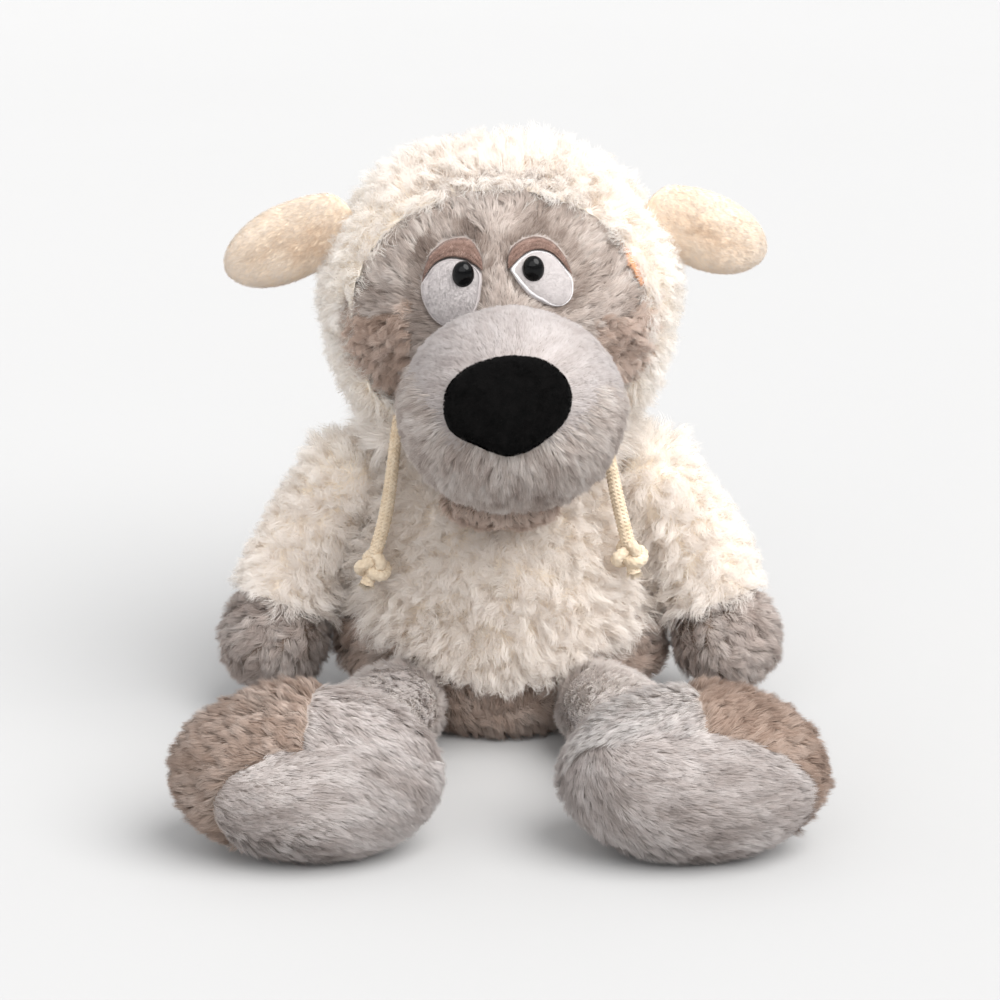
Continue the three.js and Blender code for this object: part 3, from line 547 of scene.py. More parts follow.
def pile(name, p, n, comb, mat, long=6.0, vary=0.2, rise=44, fall=12, parts=2, width=0.25, seed=1,
         clump=3.2, pull=0.3, frizz=0.25, swirl=0.15, yaw=0.17, curl=0.0, turns=1.0, droop=0.0, puff=0.3,
         lift=0.2, ridge=0.16, tone=0.5, spread=0.07, streak=0.3, grain=2.2, reach=6.0, flat=0.0, body=None, slot=None, bend=None):
    """Strands rooted at p on a surface with normals n, laid along comb, gathered in locks of about clump mm.
    A big piece is made in several parts, side by side."""
    r = np.random.default_rng(seed)
    m = len(p)
    comb = comb - n * (comb * n).sum(1, keepdims=True)
    weak = np.linalg.norm(comb, axis=1) < 1e-3
    comb[weak] = np.cross(n[weak], [0.31, 0.22, 0.93])
    t = unit(comb)
    flow = lay(p, t, grain, seed + 7, reach)
    wide = lay(p, t, grain * 3.2, seed + 9, reach)
    _, lock = np.unique(cells(p, clump, seed), return_inverse=True)
    count = np.bincount(lock).astype(float)
    mean = lambda x: np.stack([np.bincount(lock, x[:, k]) / count for k in range(x.shape[1])], axis=1)
    lk = r.random((len(count), 6))
    b = np.cross(n, t)
    turn = (lk[lock, 0] - 0.5) * 2 * swirl + r.normal(0, yaw, m) + 0.12 * flow
    t = t * np.cos(turn)[:, None] + b * np.sin(turn)[:, None]
    b = np.cross(n, t)
    up = (lk[lock, 1] - 0.5) * 2 * lift + r.normal(0, 0.1, m) + ridge * wide
    a0, a1 = math.radians(rise) + up, math.radians(fall) + up
    size = long * (1 + vary * ((lk[lock, 2] - 0.5) * 1.2 + r.normal(0, 0.5, m))).clip(0.4, 1.5)
    x = [p]
    for k in range(parts):
        a = a0 + (a1 - a0) * (k + 0.5) / parts
        x.append(x[-1] + (size / parts)[:, None] * (np.cos(a)[:, None] * t + np.sin(a)[:, None] * n))
    phase = lk[lock, 3] * 2 * math.pi + r.normal(0, 0.5, m)
    g = r.normal(0, 1, (m, 2))
    for k in range(1, parts + 1):
        s = k / parts
        x[k] = x[k] + (mean(x[k])[lock] - x[k]) * (pull * s**1.2)
        x[k] = x[k] + (b * g[:, :1] + n * g[:, 1:] * 0.7) * (frizz * s)
        if curl:
            w = curl * s**0.8
            x[k] = x[k] + b * (w * np.sin(2 * math.pi * turns * s + phase))[:, None] + n * (0.7 * w * np.cos(2 * math.pi * turns * s + phase))[:, None]
        if droop:
            x[k][:, 2] -= droop * size * s * s
        x[k][:, 2] = np.maximum(x[k][:, 2], 0.35)
    side = (p - mean(p)[lock]) / clump
    # shading normal: the surface's, rounded off over each lock
    shade_n = unit(n + puff * side + r.normal(0, 0.1, (m, 3)))
    roll = (lk[lock, 4] - 0.5) * 0.6 + r.normal(0, 0.22, m)
    verts, norms = [], []
    for k in range(parts + 1):
        d = unit(x[min(k + 1, parts)] - x[max(k - 1, 0)])
        wd = unit(np.cross(d, n - 0.35 * t))
        wd = wd * np.cos(roll)[:, None] + np.cross(d, wd) * np.sin(roll)[:, None]
        s = k / parts
        # flat = 1 shades each strand by the way it faces itself
        nk = unit((1 - flat) * (shade_n + 0.25 * s * t) + flat * unit(np.cross(wd, d)))
        if k < parts:
            w = width * (1 - 0.5 * s * s) / 2
            verts += [x[k] - wd * w, x[k] + wd * w]
            norms += [nk, nk]
        else:
            verts.append(x[k])
            norms.append(nk)
    per = 2 * parts + 1
    co, nv = np.stack(verts, axis=1), np.stack(norms, axis=1)
    local = []
    for k in range(parts - 1):
        o = 2 * k
        local += [[o, o + 1, o + 3], [o, o + 3, o + 2]]
    local.append([per - 3, per - 2, per - 1])
    local = np.array(local)
    u = tone + spread * (lk[lock, 5] - 0.5) * 2 + r.normal(0, 0.07, m) + streak * (0.6 * flow + 0.5 * wide)
    u = np.clip(u, 0.01, 0.99)
    # the two edges of a strand sit a hair apart on the map, so that each face covers some of it
    off = np.array([d for k in range(parts) for d in (-0.002, 0.002)] + [0.0])
    rise_v = np.array([v for k in range(parts) for v in (k / parts, k / parts)] + [1.0]) * 0.98 + 0.01
    uv = np.stack([u[:, None] + off, np.tile(rise_v, (m, 1))], axis=2)
    chunks = max(1, math.ceil(m * len(local) / 190000))
    axis = int(np.argmax(np.ptp(p, axis=0)))
    order = np.argsort(p[:, axis], kind="stable")
    out = []
    for c, ids in enumerate(np.array_split(order, chunks)):
        q = len(ids)
        faces = (np.arange(q)[:, None, None] * per + local[None]).reshape(-1, 3)
        o = mesh_of(name if chunks == 1 else f"{name}_{c + 1}", co[ids].reshape(-1, 3), nv[ids].reshape(-1, 3), faces, uv[ids].reshape(-1, 2), mat)
        place(o, body, (), bend=bend)
        out.append(o)
    return out


# ---------------------------------------------------------------- drawstrings, first
def braided(name, line, r, mat, m=64, per_mm=5.0, ridge=0.2, taper=None, columns=8, stitch=1.7):
    """A knitted cord: columns of small V stitches round a tube."""
    line = np.asarray(line, float)
    at = np.concatenate([[0], np.cumsum(np.linalg.norm(np.diff(line, axis=0), axis=1))])
    n = max(8, int(at[-1] * per_mm))
    s = np.linspace(0, at[-1], n)
    c = np.stack([np.interp(s, at, line[:, k]) for k in range(3)], axis=1)
    t = unit(np.gradient(c, axis=0))
    a = unit(np.cross(t[0], [0.3, 1.0, 0.2]))
    rings = []
    ang = np.arange(m) / m * 2 * math.pi
    col = (ang / (2 * math.pi) * columns) % 1.0
    groove = np.sqrt(np.abs(np.sin(math.pi * col)))
    for i in range(n):
        a = unit(a - t[i] * (a @ t[i]))
        b = np.cross(t[i], a)
        wave = 0.5 + 0.5 * np.cos(2 * math.pi * (s[i] / stitch + 1.1 * np.abs(col - 0.5)))
        rr = r * (1 - ridge + ridge * (0.45 * groove + 0.75 * wave)) * (1 if taper is None else taper(s[i] / at[-1]))
        rings.append(c[i] + rr[:, None] * (np.cos(ang)[:, None] * a + np.sin(ang)[:, None] * b))
    v, f = loft(rings, True, True)
    return made(name, v, f, mat)


def fuzz(name, line, r, seed):
    """Fine loose fibres standing off a cord."""
    rr = np.random.default_rng(seed)
    at = np.concatenate([[0], np.cumsum(np.linalg.norm(np.diff(line, axis=0), axis=1))])
    q = int(at[-1] * 26 * DENSE)
    s = rr.random(q) * at[-1]
    c = np.stack([np.interp(s, at, line[:, k]) for k in range(3)], axis=1)
    t = unit(np.stack([np.interp(s, at, np.gradient(line[:, k])) for k in range(3)], axis=1))
    x = unit(np.cross(t, [0.3, 1.0, 0.2]))
    y = np.cross(t, x)
    ang = rr.random(q) * 2 * math.pi
    n = np.cos(ang)[:, None] * x + np.sin(ang)[:, None] * y
    return c + n * r * 0.93, n, t


for side, (path, knot) in CORDS.items():
    line, tan, length = catmull(path, 120)
    cord = braided(f"drawstring_{side}_braid", line, CORD_D / 2, M["cord"], taper=lambda s: 0.94 + 0.2 * float(ease(s, 0.2, 0.8)))
    end, way = line[-1], unit(np.array(knot, float) - line[-1])
    x = unit(np.cross(way, [0.0, 1.0, 0.0]))
    y = np.cross(way, x)
    # the knot: one loop of the same cord through itself, and a short tail that has begun to fray
    th = np.linspace(0.35, 2 * math.pi + 0.35, 90)
    px, py, pz = np.sin(th) + 2 * np.sin(2 * th), np.cos(th) - 2 * np.cos(2 * th), -np.sin(3 * th)
    mid = end + way * 5.6
    ring = mid + 1.95 * px[:, None] * x + 2.3 * pz[:, None] * y + 1.45 * py[:, None] * way
    kn = braided(f"drawstring_{side}_knot_loop", ring, 2.5, M["knot"], m=44, per_mm=3.4, columns=6)
    lean = -0.5 if side == "right" else 0.35
    tail_line = np.array([end + way * s + x * lean * 3.0 * ease(np.array([s]), 6, 15)[0] for s in np.linspace(0.2, 13.5, 40)])
    tail = braided(f"drawstring_{side}_tail", tail_line, 2.4, M["knot"], m=48, per_mm=4.0, taper=lambda s: 0.92 + 0.3 * s * s, columns=7)
    rr = np.random.default_rng(5)
    q = 420
    ang, rad = rr.random(q) * 2 * math.pi, 2.3 * np.sqrt(rr.random(q))
    tip = tail_line[-1]
    roots = tip - way * 1.2 + (rad * np.cos(ang))[:, None] * x + (rad * np.sin(ang))[:, None] * y
    kw = dict(long=3.4, rise=84, fall=58, parts=2, width=0.2, clump=1.5, tone=0.7, pull=0.2, frizz=0.5, seed=31, slot="cotton_cord", body=f"cord_{side}")
    for o in (cord, kn, tail):
        place(o, f"cord_{side}", ())
    fray = pile(f"drawstring_{side}_fray", roots, np.tile(way, (q, 1)), roots - end, M["cordfuzz"], **kw)
    fp, fn, ft = fuzz("", line, CORD_D / 2, 33)
    kp, kn2, kt = fuzz("", ring, 2.1, 34)
    hairs = pile(f"drawstring_{side}_fuzz", np.concatenate([fp, kp]), np.concatenate([fn, kn2]), np.concatenate([ft, kt]), M["cordfuzz"],
                 long=1.1, rise=50, fall=5, parts=2, width=0.14, clump=1.0, pull=0.1, frizz=0.3, swirl=1.5, seed=35, tone=0.6, slot="cotton_cord", body=f"cord_{side}")
    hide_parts(f"drawstring_{side}")
    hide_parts(f"drawstring_{side}_knot")


# ---------------------------------------------------------------- covers
def hem_at(deg):
    z = np.full(len(deg), float(HEM[-1][1]))
    for (d0, z0), (d1, z1) in zip(HEM, HEM[1:]):
        on = (deg >= d0) & (deg <= d1)
        z[on] = z0 + ease(deg[on], d0, d1) * (z1 - z0)
    # it hangs lower over the thighs
    return z - 4.5 * np.exp(-(((deg - 42) / 17) ** 2))


def torso_cover():
    m = 96
    ang = np.arange(m) / m * 2 * math.pi
    zs = np.concatenate([[0.7, 0.75, 0.9, 2.4, 4.0], np.linspace(6, 122, 44)])
    rs = np.interp(zs, [z for z, _ in TORSO], [r for _, r in TORSO]) - SKIN_IN
    rs[:3] = [14, 27, 34]
    rings = [np.stack([r * np.cos(ang), r * np.sin(ang), np.full(m, z)], axis=1) for z, r in zip(zs, rs)]
    return loft(rings, True, True)


def jacket_cover():
    m = 112
    ang = np.arange(m) / m * 2 * math.pi
    z0 = np.linspace(30, 124.5, 44)
    rings = []
    for z in z0:
        r = np.interp(z, [a for a, _ in JACKET], [b for _, b in JACKET]) - SKIN_IN
        deg = np.abs(np.degrees(np.arctan2(np.sin(ang), np.cos(ang))))
        w = min(max(1 - (z - 30) / 48, 0), 1)
        x, y = r * np.sin(ang), -r * np.cos(ang)
        y = np.where(y < 0, y * (1 - 0.12 * float(ease(z, 78, 118))), y)
        rings.append(np.stack([x, y, z + w * w * (hem_at(deg) - 30)], axis=1))
    v, f = loft(rings)
    n = normals_of(v, f)
    return v + n * (0.9 * noise(v, 22, 3) + 0.4 * noise(v, 9, 4))[:, None] - n * 0.4, f


def hood_bag(u, grow):
    up = u[:, 2] >= 0
    flat = np.hypot(u[:, 0], u[:, 1])
    z = np.abs(u[:, 2])
    s = 1 / np.maximum((flat**4 + z**4), 1e-12) ** 0.25
    k = np.where(up, 1.0, s)
    low = np.where(up, HOOD_R[2], HOOD_LOW) + grow
    return np.stack([u[:, 0] * k * (HOOD_R[0] + grow), u[:, 1] * k * (HOOD_R[1] + grow), u[:, 2] * k * low], axis=1) + HOOD


def hood_cover(grow, rim, n=56):
    u, f = ball(n)
    v = hood_bag(u, grow)
    v, f = part_of(v, f, lambda c: (c[:, 1] > rim) & ~((np.hypot(c[:, 0], c[:, 1]) < 27) & (c[:, 2] < 150)))
    edge = (v[:, 1] < rim + 2.2)
    v[edge, 1] = rim + 0.9 * noise(v[edge], 11, 8)
    # drawn in towards the neck
    v[:, 0] *= 1 - 0.055 * ease(178 - v[:, 2], 0, 34)
    return v, f


def ellipsoid(centre, r, n, grow=0.0):
    u, f = ball(n)
    return u * (np.array(r) + grow) + centre, f


def head_cover():
    return ellipsoid(HEAD, HEAD_R, 44, -SKIN_IN)


def muzzle_cover():
    v, f = ellipsoid(MUZZLE, MUZZLE_R, 34, -SKIN_IN)
    v = v + unit(v - MUZZLE) * (0.5 * noise(v, 16, 12))[:, None]
    return part_of(v, f, lambda c: inside(c, HEAD, HEAD_R, -5) > 1)


def foot_cover(s):
    v, f = ellipsoid(FOOT, FOOT_R, 30, -SKIN_IN)
    v[:, 2] = np.maximum(v[:, 2], 0.8 + 0.02 * v[:, 2])
    v = v + unit(v - FOOT) * (0.6 * noise(v, 17, 22 + (s < 0)))[:, None]
    v[:, 2] = np.maximum(v[:, 2], 0.7)
    if s < 0:
        v, f = flip_x(v), [q[::-1] for q in f]
    return v, f


def limb(path, profile, s, m=40):
    v, f = along([list(p) for p in (path if s > 0 else flip_x(path))], profile, m)
    return outward(v, f)


def cap(s, r, lo, hi, n=8):
    a = np.radians(np.linspace(lo, hi, n))
    return [[s + r * math.sin(x), r * math.cos(x)] for x in a]


def ear_cover(side):
    root, tip = (np.array(p, float) for p in EARS[side])
    length = np.linalg.norm(tip - root) / 2
    x = unit(tip - root)
    z = unit(np.array([0, 0, 1.0]) - x * x[2])
    y = np.cross(z, x)
    u, f = ball(26)
    # fuller at the tip, narrower at the root, and dished a little at the front
    w = 1 + 0.05 * u[:, 0] - 0.10 * np.maximum(-u[:, 0], 0) ** 2
    tall = (1.05 - 0.05 * u[:, 0]) * np.where(u[:, 0] < 0, np.minimum(1 / np.sqrt(np.maximum(1 - u[:, 0] ** 2, 0.05)), 1.7) ** 0.42, 1.0)
    local = u * [length - 0.4, EAR_T - 0.9, EAR_H - 0.5] * np.stack([np.ones(len(u)), w, tall], axis=1)
    fy = -1 if y[1] > 0 else 1  # which side of the ear's own y looks forward
    front = np.clip(u[:, 1] * fy, 0, 1)
    local[:, 1] -= fy * 1.5 * front * np.exp(-(u[:, 0] ** 2) / 0.35 - (u[:, 2] ** 2) / 0.16)
    v = (root + tip) / 2 + local[:, :1] * x + local[:, 1:2] * y + local[:, 2:] * z
    v[:, 2] -= 1.6 + 1.2 * ease(u[:, 0], -0.9, 0.9)
    v = v - (x * 5.0 + np.array([0, 3.0, 0])) * ease(-u[:, 0], 0.1, 1.0)[:, None]
    seam = np.abs(u[:, 1]) < 0.06
    return v, f, seam, (x, y, z, fy, root, tip)


jobs = {}
tv, tf = torso_cover()
jobs["torso"] = stuffed(tv, tf, lambda v: (np.abs(v[:, 1]) < 0.6) | (v[:, 2] < 4.1) | (v[:, 2] > 60), cap=0.9)
hv, hf = head_cover()
jobs["head"] = stuffed(hv, hf, lambda v: (np.abs(v[:, 1] + 20) < 1.6) | (v[:, 1] > 0), cap=0.8)
mv, mf = muzzle_cover()
jobs["muzzle"] = stuffed(mv, mf, lambda v: (np.abs(v[:, 2] - 148) < 1.2) | (inside(v, HEAD, HEAD_R) < 1), cap=1.2)
cv, cf = ellipsoid((CHIN[0] - 2.0, CHIN[1], CHIN[2] + 1.6), (CHIN_R[0] - 4, CHIN_R[1], CHIN_R[2] - 1), 16, -SKIN_IN)
jobs["chin"] = stuffed(cv, cf, lambda v: inside(v, MUZZLE, MUZZLE_R) < 1, cap=1.0)
for side, s in (("left", 1), ("right", -1)):
    fv, ff = foot_cover(s)
    jobs[f"foot_{side}"] = stuffed(fv, ff, lambda v: (v[:, 2] < 1.5) | (np.abs(v[:, 1] + 156) < 1.0), cap=1.2)
    lv, lf = limb([HIP, ANKLE_END], [*cap(0, LEG_R - SKIN_IN, -88, 0), [12, 18], [25, 18.1], [38, 18], *cap(50.5, LEG_R - SKIN_IN, 0, 88)], s)
    lv[:, 2] = np.maximum(lv[:, 2], 0.9)
    jobs[f"leg_{side}"] = stuffed(lv, lf, lambda v: v[:, 2] < 1.5, cap=1.0)
    arm = [[-5, 12], [0, 13.4], [28, 13.5], [57, 13.8], [59.5, 15.4], [62, 17.3], [66, 19.2], [71, 19.9], [76, 19.7], [80, 18.9], [84, 17.0], [88, 13.9], [91, 9.6], [92.5, 5.0], [92.9, 0.3]]
    av, af = limb(ARM_PATH, arm, s)
    jobs[f"arm_{side}"] = stuffed(av, af, lambda v, s=s: np.linalg.norm(v - flip_x(SHOULDER) if s < 0 else v - SHOULDER, axis=1) < 50, cap=1.0)
    ev, ef, seam, axes = ear_cover(side)
    jobs[f"ear_{side}"] = stuffed(ev, ef, lambda v, seam=seam: seam, cap=0.9)
    jobs[f"ear_{side}"]["axes"] = axes
tlv, tlf = limb(TAIL_PATH, [[-6, 4.4], [-2, 7.3], [2, 8.6], [6, 9.3], [12, 10.2], [18, 10.8], [24, 10.8], [30, 10.0], [36, 7.9], [40, 4.9], [42.2, 2.2], [42.9, 0.2]], 1, 28)
tlv[:, 2] = np.maximum(tlv[:, 2], 0.8)
jobs["tail"] = stuffed(tlv, tlf, lambda v: v[:, 2] < 1.0, cap=0.8)
run_stuffing()

# ---------------------------------------------------------------- torso
wool = dict(mat=M["wool"], slot="wool_pile", long=10.5, vary=0.35, rise=82, fall=20, parts=4, width=0.19, clump=3.3, pull=0.54, frizz=0.75,
            swirl=2.3, yaw=0.45, curl=1.5, turns=1.3, droop=0.1, puff=0.4, lift=0.45, ridge=0.2, tone=0.6, spread=0.1, streak=0.14, grain=4.0, reach=4.0, flat=0.7)
plush = dict(slot="grey_plush", long=5.6, rise=46, fall=12)
shaggy = dict(long=6.4, rise=58, fall=20, clump=3.8, pull=0.42, frizz=0.5, swirl=0.7, yaw=0.3, curl=0.5, lift=0.35, ridge=0.25, puff=0.4, spread=0.14, streak=0.22, tone=0.5)


def cover(name, v, f, mat, body, nodes=(), bend=None, thick=0.0):
    o = made(name, v, f, mat)
    if thick:
        sol = o.modifiers.new("thick", "SOLIDIFY")
        sol.thickness, sol.offset = thick * MM, -1
    return place(o, body, nodes, bend)


v, f = jobs["torso"]["v"], jobs["torso"]["f"]
fold = noise(v * [0.45, 0.45, 1.5], 8, 41)
degrees = lambda p: np.abs(np.degrees(np.arctan2(p[:, 0], -p[:, 1])))
# the seat spreads sideways under the hem
hips = 18.0 * np.exp(-(((degrees(v) - 88) / 32) ** 2)) * ease(v[:, 2], 4, 26) * (1 - ease(v[:, 2] - hem_at(degrees(v)), 3, 11))
v = v + normals_of(v, f) * hips[:, None]
v = v + normals_of(v, f) * (1.5 * fold * (v[:, 2] < 60))[:, None] * np.clip(v[:, 2:] / 8, 0, 1)
for name, keep, nodes in (
    ("torso_front", lambda c: (c[:, 2] >= 4) & (c[:, 1] < 0), ["torso_front_panel", "torso_stuffing"]),
    ("torso_back", lambda c: (c[:, 2] >= 4) & (c[:, 1] >= 0), ["torso_back_panel"]),
    ("torso_seat", lambda c: c[:, 2] < 4, ["seat_panel"]),
):
    pv, pf = part_of(v, f, keep)
    cover(name + "_cover", pv, pf, M["brown_back"], "torso", nodes)
    p, n = scatter(pv, pf, 3.6, 101 + len(name), lambda p: (p[:, 2] > 1.2) & (p[:, 2] < hem_at(degrees(p)) + 9))
    if len(p):
        way = np.stack([1.6 * noise(p, 26, 51) + 0.2, np.zeros(len(p)), -0.45 + 0.6 * noise(p, 9, 52)], axis=1)
        pile(name + "_pile", p, n, way, M["brown"], **{**shaggy, "long": 6.0, "tone": 0.82}, seed=201, body="torso", slot="brown_plush")

# ---------------------------------------------------------------- pullover body
v, f = jacket_cover()


def arm_axis_distance(p):
    line, _, _ = catmull(ARM_PATH, 40)
    q = np.concatenate([np.abs(p[:, :1]), p[:, 1:]], axis=1)
    return np.min(np.linalg.norm(q[:, None, :] - line[None, :26], axis=2), axis=1)


def jacket_radius(z):
    return np.interp(z, [a for a, _ in JACKET], [b for _, b in JACKET])


for name, keep, node in (("pullover_front", lambda c: c[:, 1] < 0, "jacket_front_panel"), ("pullover_back", lambda c: c[:, 1] >= 0, "jacket_back_panel")):
    pv, pf = part_of(v, f, keep)
    cover(name + "_panel", pv, pf, M["wool_back"], "torso", [node], thick=2.2)
    p, n = scatter(pv, pf, 3.1, 111 + len(name), lambda p: arm_axis_distance(p) > 14.5)
    near = 1 - ease(p[:, 2] - hem_at(degrees(p)), 0, 15)
    way = np.stack([0.8 * noise(p, 12, 61) + 0.3 * np.tanh(p[:, 0] / 25), 0.3 * noise(p, 14, 62), -0.75 + 0.7 * noise(p, 11, 63)], axis=1)
    # the fringe at the hem is shorter and turned out, so it hangs just below the edge
    n2 = unit(n + (0.5 * near)[:, None] * np.array([0, 0, 0.55]))
    short = near > 0.45
    # and it is fuller low down at the sides, towards the arms
    full = 4.0 * ease(np.abs(n[:, 0]), 0.55, 0.95) * (1 - ease(p[:, 2], 70, 90))
    for tag, pick, size, hang, swirl in (("wool", ~short, 11.0 + full, 0.1, 2.3), ("hem", short, 7.8 + full, 0.02, 1.0)):
        pile(f"{name}_{tag}", p[pick], n2[pick], way[pick], **{**wool, "long": size[pick], "droop": hang, "swirl": swirl, "tone": 0.24}, seed=211, body="torso")
    # the roll of the neck seam, where the hood is sewn on
    lo, hi = (math.pi, 2 * math.pi) if name == "pullover_front" else (0, math.pi)
    rings = []
    for a in np.linspace(lo, hi, 60):
        c = np.array([43.0 * math.cos(a), (38.5 if a > math.pi else 43.0) * math.sin(a), 125.6])
        o = np.array([math.cos(a), math.sin(a), 0])
        q = np.linspace(0, 2 * math.pi, 14, endpoint=False)
        rings.append(c + 2.2 * np.cos(q)[:, None] * o + np.array([0, 0, 2.4]) * np.sin(q)[:, None])
    cv, cf = outward(*loft(rings, True, True))
    cover(name + "_neck_seam", cv, cf, M["wool_back"], "torso", ())
    p, n = scatter(cv, cf, 5.5, 115, lambda p: np.hypot(p[:, 0], p[:, 1]) > 41)
    n = unit(n * 0.4 + unit(p * [1, 1, 0]) + [0, 0, 0.35])
    way = np.stack([0.8 * noise(p, 12, 66), 0.5 * noise(p, 12, 67), -0.3 + 0.9 * noise(p, 10, 68)], axis=1)
    pile(f"{name}_neck_wool", p, n, way, **{**wool, "long": 12.5 + 8.0 * ease(np.abs(p[:, 0]), 26, 38), "tone": 0.4}, seed=215, body="torso")

# ---------------------------------------------------------------- sleeves and arms
for side, s in (("left", 1), ("right", -1)):
    bend = ("torso", f"arm_{side}", (48 * s, 0, 110), (70 * s, -2, 86))
    prof = [*cap(0, 17.8, -84, 0, 9), [6, 17.9], [12, 18.0], [18, 18.1], [24, 18.2], [30, 18.3], [36, 18.5], [42, 18.6], [48, 18.8], [53, 18.9], [57, 18.9]]
    sv, sf = limb(ARM_PATH, prof, s, 56)
    # open at the cuff
    line, tan, _ = catmull(ARM_PATH if s > 0 else flip_x(ARM_PATH))
    cuff, ct = line[int(57 / 75 * 399)], tan[int(57 / 75 * 399)]
    sv, sf = part_of(sv, sf, lambda c: (c - cuff) @ ct < -0.6)
    nn = normals_of(sv, sf)
    sv = sv + nn * (0.8 * noise(sv, 15, 71 + s))[:, None] - nn * 0.3
    cover(f"sleeve_{side}_panel", sv, sf, M["wool_back"], None, [f"sleeve_{side}"], bend=bend, thick=2.0)
    p, n = scatter(sv, sf, 3.1, 121 + s, lambda p: (np.hypot(p[:, 0], p[:, 1]) > jacket_radius(p[:, 2]) - 1) | (p[:, 2] > 124))
    way = np.tile(np.array([0.45 * s, -0.12, -1.0]), (len(p), 1)) + 0.6 * drift(p, 13, 65)
    high = ease(p[:, 2], 100, 116) > 0.5
    size = 11.5 - 4.5 * ease(n[:, 0] * s, 0.3, 0.9)
    pile(f"sleeve_{side}_wool", p[~high], n[~high], way[~high], **{**wool, "long": size[~high], "tone": 0.42}, seed=221 + s, bend=bend)
    pile(f"sleeve_{side}_shoulder_wool", p[high], n[high], way[high] * [0.6, 1, 0.2], **{**wool, "long": 2.0 + size[high], "rise": 84, "fall": 40}, seed=223 + s, bend=bend)
    av, af = jobs[f"arm_{side}"]["v"], jobs[f"arm_{side}"]["f"]
    # tucks sewn into the paw run out from its middle
    pawc = line[-1] + tan[-1] * 4
    d = av - pawc
    ang = np.arctan2(d[:, 2], d[:, 0] * s)
    tuck = np.maximum(0, np.cos(ang * 3 + 0.6)) ** 8 * ease(-d[:, 1], 6, 16) * ease(np.hypot(d[:, 0], d[:, 2]), 3, 9)
    av = av + normals_of(av, af) * (0.8 * noise(av, 11, 81 + s) - 1.8 * tuck)[:, None]
    av[:, 2] = np.maximum(av[:, 2], 0.8)
    cover(f"arm_{side}_cover", av, af, M["brown_back"], f"arm_{side}", [f"arm_{side}_skin", f"arm_{side}_stuffing"])
    p, n = scatter(av, af, 4.6, 131 + s, lambda p: (p - cuff) @ ct > -5)
    way = np.tile(ct, (len(p), 1)) * 0.6 + np.array([0.4 * s, 0, 0]) + 0.7 * drift(p, 12, 83)
    pile(f"arm_{side}_pile", p, n, way, M["paw"], **{**shaggy, "tone": 0.76, "swirl": 0.9}, seed=231 + s, body=f"arm_{side}", slot="grey_plush")

